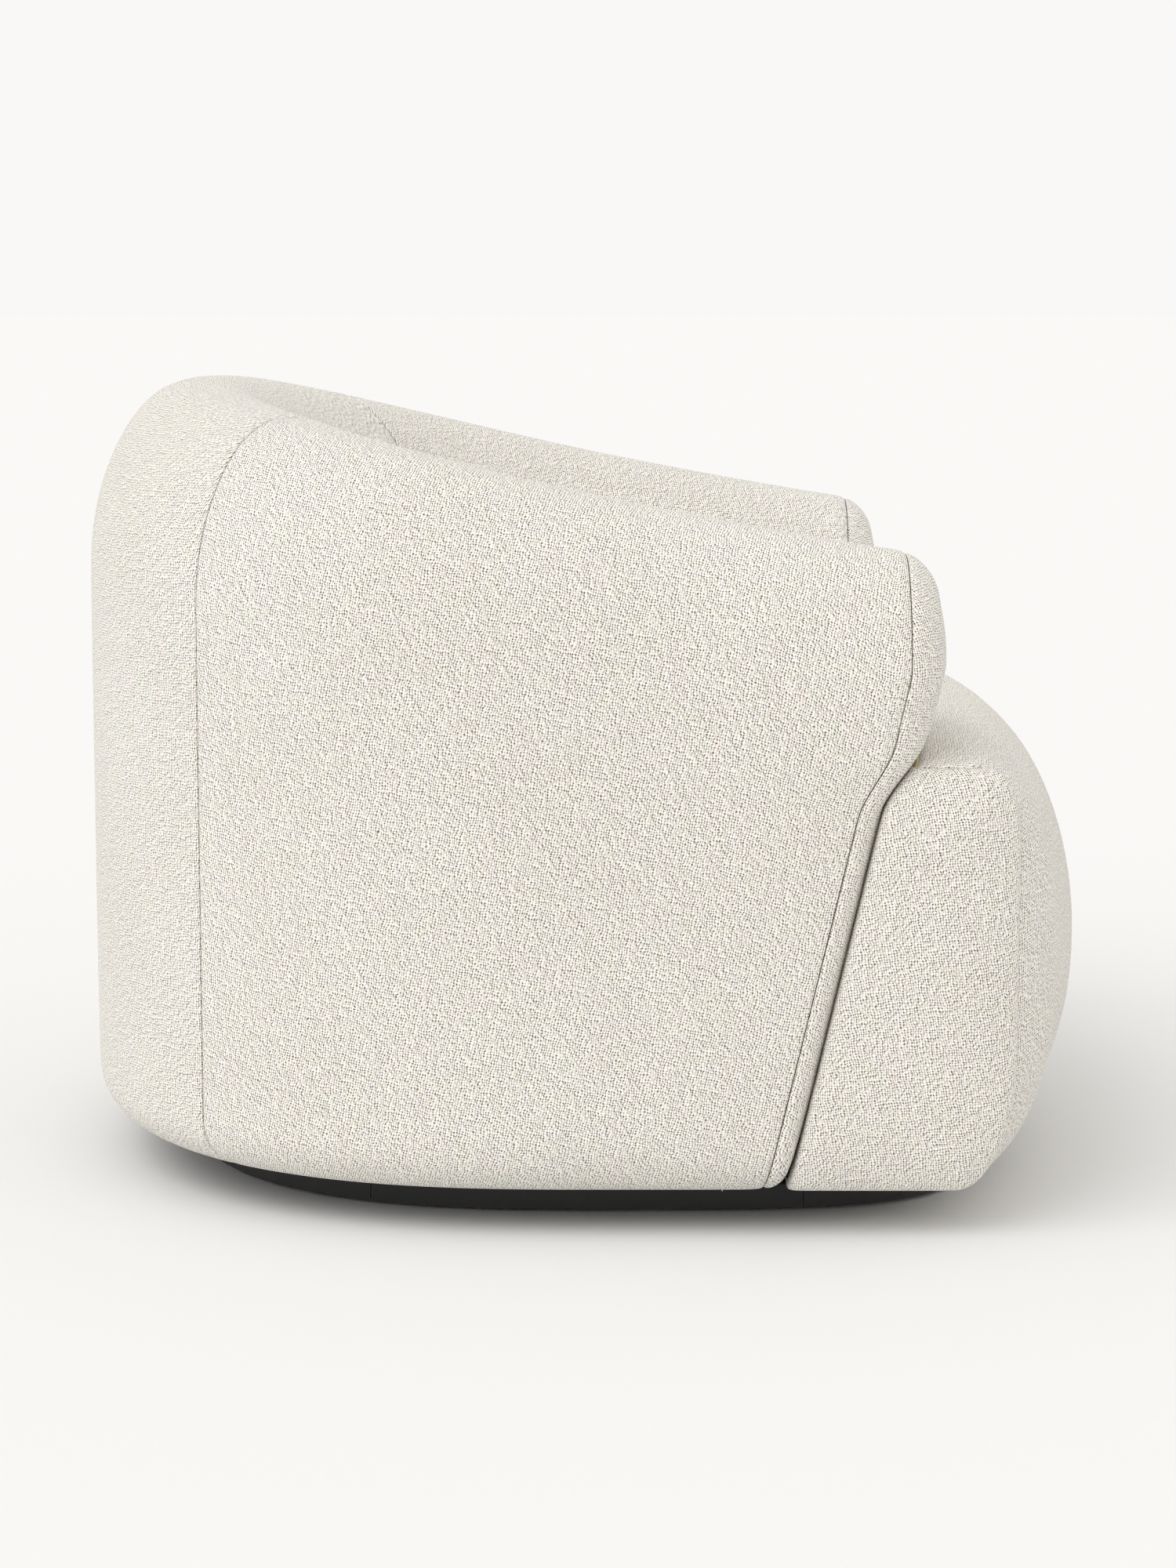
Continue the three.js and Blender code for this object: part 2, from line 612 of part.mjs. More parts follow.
function addCornerBlocks(between, low) {
  const leg = CORNER_BLOCK_LEG;
  const foot = low + CORNER_BLOCK_FOOT;
  const head = DECK_Z - CORNER_BLOCK_HEAD;
  for (const [hand, sideways] of [["left", 1], ["right", -1]]) {
    for (const [end, y, inward] of [
      ["front", FRAME_FRONT_Y + RAIL_THICKNESS + GAP, 1],
      ["rear", FRAME_BACK_Y - RAIL_THICKNESS - GAP, -1],
    ]) {
      const shape = new THREE.Shape();
      const x = sideways * between;
      shape.moveTo(x, y);
      shape.lineTo(x - sideways * leg, y);
      shape.lineTo(x, y + inward * leg);
      addPiece(`seat_corner_block_${end}_${hand}`, prism(shape, foot, head), TIMBER_LOOK);
    }
  }
}

function addSeatWebbing(side, front, back) {
  const crossTop = DECK_Z + GAP + STRAP_THICKNESS;
  CROSS_STRAP_SPOTS.forEach((y, i) => {
    const strap = boxBetween(-side, side, y, y + STRAP_WIDTH, DECK_Z + GAP, crossTop);
    addPiece(`seat_webbing_cross_${i + 1}`, strap, WEBBING_LOOK);
  });
  LONG_STRAP_SPOTS.forEach((x, i) => {
    const low = crossTop + GAP;
    const strap = boxBetween(x, x + STRAP_WIDTH, front, back, low, low + STRAP_THICKNESS);
    addPiece(`seat_webbing_long_${i + 1}`, strap, WEBBING_LOOK);
  });
}

// ---- Plinth, underside and fasteners ----

// A closed outline drawn in from the chair's own: rounded behind, squarer in front.
function plinthOutline(inset, frontInset = inset) {
  const points = [];
  for (let step = 0; step < PLINTH_STEPS; step += 1) {
    const angle = (step / PLINTH_STEPS) * 2 * Math.PI;
    const power = Math.cos(angle) > 0 ? PLAN_POWER : PLINTH_FRONT_POWER;
    const x = Math.sign(Math.sin(angle)) * Math.abs(Math.sin(angle)) ** (2 / power);
    const y = Math.sign(Math.cos(angle)) * Math.abs(Math.cos(angle)) ** (2 / power);
    const reach = y > 0 ? BACK_Y - inset : -FRONT_Y - frontInset;
    points.push(new THREE.Vector2(x * (HALF_WIDTH - inset), y * reach));
  }
  return new THREE.Shape(points);
}

function boltHoles() {
  const spots = [...WRAP_BOLT_SPOTS, ...SEAT_BOLT_SPOTS];
  const holes = spots.map(([x, y]) =>
    uprightCylinder(BOLT_RADIUS + GAP, x, y, -10, DECK_Z - 40, BOLT_SIDES),
  );
  const recesses = spots.map(([x, y]) => {
    const top = GLIDE_HEIGHT + GAP + BOLT_HEAD_HEIGHT + 4;
    return uprightCylinder(BOLT_HEAD_RADIUS + 2, x, y, -10, top, BOLT_SIDES);
  });
  return [...holes, ...recesses].reduce((all, hole) => all.add(hole));
}

function addPlinth() {
  const bottom = GLIDE_HEIGHT + GAP;
  const outer = prism(plinthOutline(PLINTH_INSET), bottom, PLINTH_TOP);
  const inner = prism(plinthOutline(PLINTH_INSET + PLINTH_RING), 0, HEIGHT);
  const ring = outer.subtract(inner).subtract(boltHoles());
  const split = PLINTH_SPLIT_Y;
  const edge = split - 2 * GAP;
  const front = boxBetween(-WIDTH, WIDTH, -DEPTH, -split, 0, HEIGHT);
  const back = boxBetween(-WIDTH, WIDTH, split, DEPTH, 0, HEIGHT);
  addPiece("plinth_front", ring.intersect(front), PLINTH_LOOK);
  addPiece("plinth_back", ring.intersect(back), PLINTH_LOOK);
  const left = boxBetween(0, WIDTH, -edge, edge, 0, HEIGHT);
  const right = boxBetween(-WIDTH, 0, -edge, edge, 0, HEIGHT);
  addPiece("plinth_left", ring.intersect(left), PLINTH_LOOK);
  addPiece("plinth_right", ring.intersect(right), PLINTH_LOOK);
}

function addDustCover() {
  const outline = plinthOutline(DUST_COVER_INSET, DUST_COVER_FRONT_INSET);
  const sheet = prism(outline, PLINTH_TOP + GAP, UNDERSIDE - GAP);
  addPiece("dust_cover", sheet.subtract(boltHoles()), FELT_LOOK);
}

function addGlides() {
  for (const [corner, x, y] of GLIDE_SPOTS) {
    const glide = uprightCylinder(GLIDE_RADIUS, x, y, 0, GLIDE_HEIGHT, GLIDE_SIDES);
    addPiece(`glide_${corner}`, glide, FELT_LOOK);
  }
}

function addBolts() {
  const bottom = GLIDE_HEIGHT + 3;
  const groups = [
    ["wrap_bolt", WRAP_BOLT_SPOTS, BOARD_TOP - WRAP_BOLT_LENGTH_SPARE],
    ["seat_bolt", SEAT_BOLT_SPOTS, SEAT_BOLT_TOP],
  ];
  for (const [name, spots, top] of groups) {
    spots.forEach(([x, y], i) => {
      const headTop = bottom + BOLT_HEAD_HEIGHT;
      const head = uprightCylinder(BOLT_HEAD_RADIUS, x, y, bottom, headTop, BOLT_SIDES);
      const shank = uprightCylinder(BOLT_RADIUS, x, y, bottom + 1, top, BOLT_SIDES);
      addPiece(`${name}_${i + 1}`, head.add(shank), STEEL_LOOK);
    });
  }
}

// ---- Assembly ----

addBack();
addFramePart("back", placesBetween(-BACK_FRAME_END, BACK_FRAME_END, BACK_STEPS), "");
for (const [side, hand] of [[-1, "right"], [1, "left"]]) {
  addArm(side, hand);
  const framePlaces = placesBetween(ARM_FRAME_START, ARM_FRAME_END, ARM_STEPS);
  addFramePart("arm", framePlaces.map((place) => side * place), `_${hand}`);
  addPost(`arm_front_post_${hand}`, side * placeOfY(ARM_FRONT_POST_Y));
  addPost(`arm_rear_post_${hand}`, side * ARM_REAR_POST_PLACE);
  addPost(`back_post_${hand}`, side * BACK_POST_PLACE);
}
BACK_STRAP_BOTTOMS.forEach((bottom, i) => addBackStrap(`back_webbing_${i + 1}`, bottom));
addSeatPadding();
addSeatFrame();
addPlinth();
addDustCover();
addGlides();
addBolts();

export default chair;
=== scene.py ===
import math

import bmesh
import bpy
import numpy as np
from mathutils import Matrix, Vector


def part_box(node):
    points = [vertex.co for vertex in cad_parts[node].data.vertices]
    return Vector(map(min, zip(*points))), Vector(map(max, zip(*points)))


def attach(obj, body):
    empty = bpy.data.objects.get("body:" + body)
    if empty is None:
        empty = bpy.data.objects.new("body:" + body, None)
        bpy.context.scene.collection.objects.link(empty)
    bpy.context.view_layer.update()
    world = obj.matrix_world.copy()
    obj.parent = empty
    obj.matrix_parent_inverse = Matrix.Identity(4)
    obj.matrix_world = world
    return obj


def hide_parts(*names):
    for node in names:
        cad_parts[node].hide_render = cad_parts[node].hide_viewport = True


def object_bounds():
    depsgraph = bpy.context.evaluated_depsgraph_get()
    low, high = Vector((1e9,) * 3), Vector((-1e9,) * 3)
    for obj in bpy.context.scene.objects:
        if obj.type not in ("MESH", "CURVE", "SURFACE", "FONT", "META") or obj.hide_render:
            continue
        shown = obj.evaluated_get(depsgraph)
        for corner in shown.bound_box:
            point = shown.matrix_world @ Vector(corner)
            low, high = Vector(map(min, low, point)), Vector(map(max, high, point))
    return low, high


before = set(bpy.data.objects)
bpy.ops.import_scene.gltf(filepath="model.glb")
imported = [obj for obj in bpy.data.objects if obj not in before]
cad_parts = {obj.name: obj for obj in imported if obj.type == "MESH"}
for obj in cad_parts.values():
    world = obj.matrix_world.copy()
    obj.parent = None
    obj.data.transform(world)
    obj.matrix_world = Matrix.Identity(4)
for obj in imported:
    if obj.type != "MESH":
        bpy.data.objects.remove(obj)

CAD_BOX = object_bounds()

# ---- Driving dimensions, from the frame ----

LOW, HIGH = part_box("arm_cover_left")
HALF_WIDTH = float(CAD_BOX[1][0])
BACK_Y = float(CAD_BOX[1][1])
FRONT_Y = float(CAD_BOX[0][1])
HEIGHT = float(CAD_BOX[1][2])
UNDERSIDE = float(LOW[2])
ARM_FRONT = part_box("arm_front_cover_left")
NOSE_Y = float(ARM_FRONT[0][1])
ARM_HEIGHT = float(ARM_FRONT[1][2])
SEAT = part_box("seat_cover")
SEAT_HEIGHT = float(SEAT[1][2])

# Shape of the wrap: the same rules as the CAD solids
ARM_THICKNESS = 0.185
INNER_HALF_WIDTH = HALF_WIDTH - ARM_THICKNESS
INNER_BACK_Y = 0.184
RECLINE = 0.27
RECLINE_START = 0.445
PLAN_POWER = 2.5
CURVED_SHARE = 0.6
PANEL_SEAM = 0.319
LEAN = 0.235
LEAN_TOP = 0.508
STEP = 0.027
STEP_TOP = 0.450
STEP_RUN = 0.065
LEAN_START_Y = -0.09
LEAN_FULL_Y = -0.29
NOSE_RADIUS = 0.038
NOSE_SEAM_Y = -0.2855
NOSE_SWELL = 0.007  # how far the top of an arm's front swells forward
PRESSED_EDGE = 0.45  # makes the edge squarer where the front presses on the seat's wing
RIM_FULLNESS = 0.94
ARM_RIM_DROP = 0.12
BACK_RIM_DROP = 0.175
HEM_RADIUS = 0.045
HEM_RETURN = 0.06

# Shape of the seat block
SEAT_HALF_WIDTH = HALF_WIDTH - 0.002
SEAT_CORNER = 0.11
SEAT_BOW = 0.055
UNIT_GAP = 0.002
SEAT_SEAM_X = 0.466
SIDE_FRONT_Y = -0.385
SIDE_TOP_Z = 0.424
SIDE_BOTTOM_Z = UNDERSIDE + 0.003
SIDE_SWELL = 0.0215
SIDE_EDGE = 0.055  # width of the round edge of a side panel
CORNER_POWER = 4
BOTTOM_RISES = (0.0015, 0.004, 0.0075)  # extra rows, so that the bottom edge stays round
CROWN_POWER = 2.3
CROWN_FULLNESS = 0.62
ROLL_FULLNESS = 0.8
SIDE_ROLL = (0.030, 0.055)  # depth and height of the roll along the top of the front, at a side seam
SIDE_LOW = (0.055, 0.120)
TOP_ROLL = (0.135, 0.235)  # the same at the middle
LOW_ROLL = (0.125, 0.172)
SEAT_HEM_Y = -0.315
SEAT_HEM_X = 0.282
WELL_HALF_WIDTH = INNER_HALF_WIDTH - UNIT_GAP

# Groove between the two units
GROOVE_Y = NOSE_Y - UNIT_GAP
GROOVE_ROLL = 0.010
GROOVE_DROP = 0.03
ROLL_PARTS = (0.25, 0.5, 0.75, 1.0)
DROP_PARTS = (0.4, 1.0)
GROOVE_ROWS = len(ROLL_PARTS) + len(DROP_PARTS)

# Fabric, seams and mesh

WEAVE_PITCH = 0.0024
ARM_GRAIN = math.radians(12.5)
SEAT_SIDE_GRAIN = math.radians(10.0)
SEAM_DEPTH = 0.0020
SIDE_SEAM_DEPTH = 0.0014
SEAM_HALF_WIDTH = 0.0036

FABRIC_THICKNESS = 0.0022
SEAM_LOOPS = (-0.0085, -0.0045, -0.0018, 0.0, 0.0018, 0.0045, 0.0085)
SLIDE_CAP = 0.0015  # how far the cloth may slide along itself
SINK_CAP = 0.0008  # how far it may sink into the foam

PATCH = 0.012  # size of a mesh cell


# ---- Camera, light and floor ----

def add_camera():
    data = bpy.data.cameras.new("camera")
    data.sensor_width = 36.0
    data.lens = 84.9
    camera = bpy.data.objects.new("camera", data)
    camera.location = (-3.697, -0.0015, 0.8616)
    pitch = math.radians(7.97)
    camera.rotation_euler = (math.pi / 2 - pitch, 0.0, -math.pi / 2)
    bpy.context.scene.collection.objects.link(camera)
    bpy.context.scene.camera = camera


def add_studio():
    """High-key light: a bright even surround, one broad soft key from behind the left, and a pale floor."""
    scene = bpy.context.scene
    scene.view_settings.view_transform = "Standard"
    world = bpy.data.worlds.new("studio")
    world.use_nodes = True
    background = world.node_tree.nodes["Background"]
    background.inputs["Color"].default_value = (1.0, 0.992, 0.975, 1.0)
    background.inputs["Strength"].default_value = 0.945
    scene.world = world
    key = bpy.data.lights.new("key", "SUN")
    key.energy = 1.0
    key.angle = math.radians(50.0)
    key.color = (0.96, 0.98, 1.0)
    key_object = bpy.data.objects.new("key", key)
    key_object.rotation_euler = Vector((-0.55, 0.62, 0.75)).to_track_quat("Z", "Y").to_euler()
    scene.collection.objects.link(key_object)
    mesh = bpy.data.meshes.new("floor")
    half = 60.0
    mesh.from_pydata(
        [(-half, -half, 0), (half, -half, 0), (half, half, 0), (-half, half, 0)], [], [(0, 1, 2, 3)]
    )
    floor = bpy.data.objects.new("floor", mesh)
    scene.collection.objects.link(floor)
    material, shader, _ = new_material("pale_floor")
    shader.inputs["Base Color"].default_value = (0.830, 0.825, 0.817, 1.0)
    shader.inputs["Roughness"].default_value = 0.9
    shader.inputs["Specular IOR Level"].default_value = 0.0
    mesh.materials.append(material)


# ---- Materials ----

def new_material(name):
    material = bpy.data.materials.new(name)
    material.use_nodes = True
    nodes = material.node_tree.nodes
    return material, nodes["Principled BSDF"], material.node_tree


class Graph:
    """Short helpers for building a material's nodes."""

    def __init__(self, tree):
        self.tree = tree

    def node(self, kind, **settings):
        node = self.tree.nodes.new(kind)
        for key, value in settings.items():
            setattr(node, key, value)
        return node

    def wire(self, target, value):
        if isinstance(value, (int, float, tuple)):
            target.default_value = value
        else:
            self.tree.links.new(target, value)

    def maths(self, operation, a, b=0.0, c=0.0):
        node = self.node("ShaderNodeMath", operation=operation)
        for socket, value in zip(node.inputs, (a, b, c)):
            self.wire(socket, value)
        return node.outputs[0]

    def noise(self, vector, scale, detail=2.0, roughness=0.5, dimensions="3D"):
        node = self.node("ShaderNodeTexNoise", noise_dimensions=dimensions)
        self.wire(node.inputs["Vector"], vector)
        node.inputs["Scale"].default_value = scale
        node.inputs["Detail"].default_value = detail
        node.inputs["Roughness"].default_value = roughness
        return node.outputs["Fac"]

    def ramp(self, value, stops):
        node = self.node("ShaderNodeValToRGB")
        self.wire(node.inputs["Fac"], value)
        elements = node.color_ramp.elements
        while len(elements) < len(stops):
            elements.new(0.5)
        for element, (place, colour) in zip(elements, stops):
            element.position = place
            element.color = (*colour, 1.0)
        return node.outputs["Color"]

    def scaled(self, value, low, high, new_low, new_high):
        node = self.node("ShaderNodeMapRange")
        self.wire(node.inputs["Value"], value)
        for name, number in zip(("From Min", "From Max", "To Min", "To Max"), (low, high, new_low, new_high)):
            node.inputs[name].default_value = number
        return node.outputs["Result"]

    def mix(self, kind, factor, a, b):
        node = self.node("ShaderNodeMix", data_type="RGBA", blend_type=kind)
        self.wire(node.inputs[0], factor)
        self.wire(node.inputs[6], a)
        self.wire(node.inputs[7], b)
        return node.outputs[2]

    def bump(self, height, strength, distance, normal=None):
        node = self.node("ShaderNodeBump")
        node.inputs["Strength"].default_value = strength
        node.inputs["Distance"].default_value = distance
        self.wire(node.inputs["Height"], height)
        if normal is not None:
            self.wire(node.inputs["Normal"], normal)
        return node.outputs["Normal"]


def woven_fabric(name):
    """Plain weave of thick, uneven off-white yarns, with small holes between some of them; the colour darkens
    where the weave is low, a painted shade in the holes, the gaps and on yarns that pass under.
    """
    material, shader, tree = new_material(name)
    g = Graph(tree)
    cloth = g.node("ShaderNodeUVMap", uv_map="weave").outputs["UV"]
    split = g.node("ShaderNodeSeparateXYZ")
    g.wire(split.inputs[0], cloth)
    place = g.node("ShaderNodeTexCoord").outputs["Object"]
    wander = g.node("ShaderNodeTexNoise")
    g.wire(wander.inputs["Vector"], place)
    wander.inputs["Scale"].default_value = 90.0
    wander.inputs["Detail"].default_value = 3.0
    wander_parts = g.node("ShaderNodeSeparateColor")
    g.wire(wander_parts.inputs[0], wander.outputs["Color"])
    threads = []
    for axis, shift in (("X", "Red"), ("Y", "Green")):
        straight = g.maths("MULTIPLY", split.outputs[axis], 1.0 / WEAVE_PITCH)
        threads.append(g.maths("ADD", straight, g.scaled(wander_parts.outputs[shift], 0.25, 0.75, -0.6, 0.6)))
    u, v = threads
    across = g.maths("ABSOLUTE", g.maths("MULTIPLY_ADD", g.maths("FRACT", u), 2.0, -1.0))
    along = g.maths("ABSOLUTE", g.maths("MULTIPLY_ADD", g.maths("FRACT", v), 2.0, -1.0))
    row = g.maths("FLOOR", u)
    column = g.maths("FLOOR", v)
    under = g.maths("MODULO", g.maths("ABSOLUTE", g.maths("ADD", row, column)), 2.0)
    own = random_of(g, row, column)
    hole = random_of(g, g.maths("ROUND", u), g.maths("ROUND", v))
    yarn_edge = g.maths("POWER", across, 3.0)
    pick_edge = g.maths("POWER", along, 3.0)
    corner = g.maths("MULTIPLY", g.maths("POWER", across, 1.6), g.maths("POWER", along, 1.6))
    opening = g.maths("MULTIPLY", corner, g.scaled(hole, 0.15, 1.0, 0.0, 2.0))
    height = g.maths("MULTIPLY_ADD", own, 0.42, 0.66)
    height = g.maths("MULTIPLY_ADD", under, -0.24, height)
    height = g.maths("MULTIPLY_ADD", yarn_edge, -0.36, height)
    height = g.maths("MULTIPLY_ADD", pick_edge, -0.16, height)
    height = g.maths("SUBTRACT", height, opening)
    fuzz = g.noise(place, 1500.0, 2.0, 0.6)
    height = g.maths("MULTIPLY_ADD", fuzz, 0.20, height)
    slub = g.noise(place, 210.0, 2.0, 0.6)
    height = g.maths("MULTIPLY_ADD", slub, 0.30, g.maths("ADD", height, -0.20))
    # Colour follows the weave's height: painted shade, darker in the gaps, the holes, along the yarn edges
    # and on yarns that pass under.
    tone = g.ramp(
        height,
        [(0.02, (0.235, 0.195, 0.145)), (0.28, (0.55, 0.522, 0.455)), (0.56, (0.84, 0.823, 0.772)),
         (0.88, (0.985, 0.978, 0.945))],
    )
    yarn = g.ramp(
        g.noise(place, 60.0, 3.0, 0.65),
        [(0.32, (0.965, 0.975, 0.925)), (0.44, (1.0, 0.99, 0.955)), (0.54, (0.985, 0.965, 0.965)),
         (0.68, (1.0, 0.962, 0.945))],
    )
    broad = g.ramp(g.noise(place, 5.0, 3.0, 0.6), [(0.35, (0.975, 0.97, 0.96)), (0.65, (1.0, 1.0, 1.0))])
    colour = g.mix("MULTIPLY", 1.0, g.mix("MULTIPLY", 1.0, tone, yarn), broad)
    g.wire(shader.inputs["Base Color"], colour)
    g.wire(shader.inputs["Roughness"], g.scaled(height, 0.0, 1.2, 0.98, 0.85))
    g.wire(shader.inputs["Normal"], g.bump(height, 0.9, 0.0008))
    shader.inputs["Sheen Weight"].default_value = 0.25
    shader.inputs["Sheen Roughness"].default_value = 0.5
    shader.inputs["Specular IOR Level"].default_value = 0.15
    return material


def random_of(g, row, column):
    """A random number for each crossing of the weave."""
    cell = g.node("ShaderNodeCombineXYZ")
    g.wire(cell.inputs[0], row)
    g.wire(cell.inputs[1], column)
    white = g.node("ShaderNodeTexWhiteNoise", noise_dimensions="3D")
    g.wire(white.inputs["Vector"], cell.outputs[0])
    return white.outputs["Value"]


def black_board():
    """Satin black paint over board, with a faint brushed grain."""
    material, shader, tree = new_material("black_board")
    g = Graph(tree)
    place = g.node("ShaderNodeTexCoord").outputs["Object"]
    grain = g.noise(place, 60.0, 4.0, 0.6)
    tone = g.ramp(grain, [(0.3, (0.010, 0.010, 0.011)), (0.8, (0.021, 0.020, 0.019))])
    g.wire(shader.inputs["Base Color"], tone)
    g.wire(shader.inputs["Roughness"], g.scaled(grain, 0.2, 0.8, 0.42, 0.62))
    g.wire(shader.inputs["Normal"], g.bump(g.noise(place, 420.0, 3.0), 0.2, 0.0004))
    return material


def black_felt():
    """Non-woven black cloth: matted fibres with small embossed dots."""
    material, shader, tree = new_material("black_felt")
    g = Graph(tree)
    place = g.node("ShaderNodeTexCoord").outputs["Object"]
    fibres = g.noise(place, 700.0, 5.0, 0.7)
    dots = g.node("ShaderNodeTexVoronoi")
    g.wire(dots.inputs["Vector"], place)
    dots.inputs["Scale"].default_value = 420.0
    height = g.maths("MULTIPLY_ADD", dots.outputs["Distance"], 0.6, fibres)
    tone = g.ramp(fibres, [(0.3, (0.008, 0.008, 0.009)), (0.75, (0.030, 0.029, 0.028))])
    g.wire(shader.inputs["Base Color"], tone)
    shader.inputs["Roughness"].default_value = 0.95
    g.wire(shader.inputs["Normal"], g.bump(height, 0.6, 0.0006))
    return material


def upholstery_foam():
    """Open-cell foam with fine pores and a slightly yellowed tone."""
    material, shader, tree = new_material("upholstery_foam")
    g = Graph(tree)
    place = g.node("ShaderNodeTexCoord").outputs["Object"]
    cells = g.node("ShaderNodeTexVoronoi")
    g.wire(cells.inputs["Vector"], place)
    cells.inputs["Scale"].default_value = 650.0
    tone = g.noise(place, 9.0, 3.0)
    g.wire(shader.inputs["Base Color"], g.ramp(tone, [(0.3, (0.74, 0.64, 0.36)), (0.7, (0.84, 0.77, 0.50))]))
    shader.inputs["Roughness"].default_value = 0.95
    g.wire(shader.inputs["Normal"], g.bump(cells.outputs["Distance"], 0.7, 0.0008))
    return material


def raw_timber():
    """Pale planed hardwood with long grain lines."""
    material, shader, tree = new_material("raw_timber")
    g = Graph(tree)
    place = g.node("ShaderNodeTexCoord").outputs["Object"]
    stretch = g.node("ShaderNodeMapping")
    g.wire(stretch.inputs["Vector"], place)
    stretch.inputs["Scale"].default_value = (14.0, 2.0, 14.0)
    grain = g.noise(stretch.outputs["Vector"], 6.0, 6.0, 0.65)
    g.wire(shader.inputs["Base Color"], g.ramp(grain, [(0.3, (0.42, 0.26, 0.13)), (0.7, (0.66, 0.47, 0.27))]))
    g.wire(shader.inputs["Roughness"], g.scaled(grain, 0.2, 0.8, 0.5, 0.75))
    g.wire(shader.inputs["Normal"], g.bump(grain, 0.3, 0.0008))
    return material


def elastic_webbing():
    """Brown elastic webbing: close ribs across the strap."""
    material, shader, tree = new_material("elastic_webbing")
    g = Graph(tree)
    place = g.node("ShaderNodeTexCoord").outputs["Object"]
    ribs = g.node("ShaderNodeTexWave", bands_direction="DIAGONAL")
    g.wire(ribs.inputs["Vector"], place)
    ribs.inputs["Scale"].default_value = 130.0
    ribs.inputs["Distortion"].default_value = 1.5
    tone = g.ramp(ribs.outputs["Fac"], [(0.2, (0.16, 0.09, 0.045)), (0.8, (0.33, 0.20, 0.10))])
    g.wire(shader.inputs["Base Color"], tone)
    shader.inputs["Roughness"].default_value = 0.85
    g.wire(shader.inputs["Normal"], g.bump(ribs.outputs["Fac"], 0.5, 0.0006))
    return material


def zinc_steel():
    """Zinc-plated steel with faint cloudy spangle."""
    material, shader, tree = new_material("zinc_steel")
    g = Graph(tree)
    place = g.node("ShaderNodeTexCoord").outputs["Object"]
    cloud = g.noise(place, 160.0, 4.0)
    g.wire(shader.inputs["Base Color"], g.ramp(cloud, [(0.3, (0.50, 0.51, 0.53)), (0.7, (0.68, 0.69, 0.70))]))
    g.wire(shader.inputs["Roughness"], g.scaled(cloud, 0.3, 0.7, 0.28, 0.45))
    shader.inputs["Metallic"].default_value = 1.0
    return material


# ---- Rules of the wrap's shape ----

def smoothstep(value):
    t = np.clip(value, 0.0, 1.0)
    return t * t * (3.0 - 2.0 * t)


def mix(a, b, share):
    return a + (b - a) * share


def place_of_y(y):
    return CURVED_SHARE + (1.0 - CURVED_SHARE) * y / NOSE_Y


def plan_point(place, half_x, back_y):
    """Plan position of a place along the wrap: -1 right arm front, 0 middle of the back, 1 left."""
    along = abs(place)
    side = -1.0 if place < 0 else 1.0
    if along >= CURVED_SHARE:
        return side * half_x, NOSE_Y * (along - CURVED_SHARE) / (1.0 - CURVED_SHARE)
    angle = along / CURVED_SHARE * math.pi / 2
    x = half_x * math.sin(angle) ** (2 / PLAN_POWER)
    y = back_y * max(math.cos(angle), 0.0) ** (2 / PLAN_POWER)
    return side * x, y


def outer_point(place, inset):
    return plan_point(place, HALF_WIDTH - inset, BACK_Y - inset)


def inner_point(place, z, inset):
    back_y = INNER_BACK_Y + RECLINE * max(0.0, z - RECLINE_START)
    return plan_point(place, INNER_HALF_WIDTH + inset, back_y + inset)


def backness(place):
    crest = outer_point(place, ARM_THICKNESS / 2)[1]
    crest_back = BACK_Y - ARM_THICKNESS / 2
    return min(max((crest - NOSE_Y) / (crest_back - NOSE_Y), 0.0), 1.0)


def rim_height(place):
    share = backness(place)
    return ARM_HEIGHT + (HEIGHT - ARM_HEIGHT) * (0.75 * share + 0.25 * share**2)


def lean_line(z):
    """How far back an arm's front stands at a height: a slope, and a soft step above the seat's wing."""
    return LEAN * max(0.0, LEAN_TOP - z) + STEP * smoothstep((STEP_TOP - z) / STEP_RUN)


def lean_at(y, z):
    share = smoothstep((LEAN_START_Y - y) / (LEAN_START_Y - LEAN_FULL_Y))
    return share * lean_line(z)


# An upright section is cut into runs: under the outer edge, hem, outer face, rim, inner face and hem.
# A row is a run's number plus the share of the way along it.
UNDER_OUT, HEM_OUT, FACE_OUT, RIM_OUT, RIM_IN, FACE_IN, HEM_IN, UNDER_IN, SECTION_END = range(9)


def section_point(row, width, bottom, top, rim_width, rim_drop, hem):
    """Distance in from the outer face, and height, of one row of a section."""
    run = min(int(row), UNDER_IN)
    share = row - run
    quarter = share * math.pi / 2
    if run == UNDER_OUT:
        return hem + (HEM_RETURN - hem) * (1 - share), bottom
    if run == HEM_OUT:
        return hem * (1 - math.sin(quarter)), bottom + hem * (1 - math.cos(quarter))
    if run == FACE_OUT:
        return 0.0, bottom + hem + (top - rim_drop - bottom - hem) * share
    if run == RIM_OUT:
        return rim_width * (1 - math.cos(quarter)), top - rim_drop * (1 - math.sin(quarter))
    if run == RIM_IN:
        return width - rim_width * (1 - math.sin(quarter)), top - rim_drop * (1 - math.cos(quarter))
    if run == FACE_IN:
        return width, top - rim_drop - (top - rim_drop - bottom - hem) * share
    if run == HEM_IN:
        return width - hem * (1 - math.cos(quarter)), bottom + hem * (1 - math.sin(quarter))
    return width - hem - (HEM_RETURN - hem) * share, bottom


def wrap_point(place, row, inset=0.0):
    """A point of the wrap's skin, drawn in by inset all round."""
    across = math.dist(outer_point(place, 0.0), inner_point(place, HEIGHT, 0.0))
    width = max(across - 2 * inset, 0.001)
    drop = ARM_RIM_DROP + (BACK_RIM_DROP - ARM_RIM_DROP) * backness(place) - inset
    rim_width = max(RIM_FULLNESS * across / 2 - inset, 0.0004)
    hem = max(HEM_RADIUS - inset, 0.004)
    top = rim_height(place) - inset
    drop = max(drop, 0.004)
    hem = min(hem, width / 2)
    depth, z = section_point(row, width, UNDERSIDE + inset, top, rim_width, drop, hem)
    share = depth / width
    outer = outer_point(place, inset)
    inner = inner_point(place, z, inset)
    x = outer[0] + (inner[0] - outer[0]) * share
    y = outer[1] + (inner[1] - outer[1]) * share
    return x, y + lean_at(y, z), z


# ---- Grids of points ----

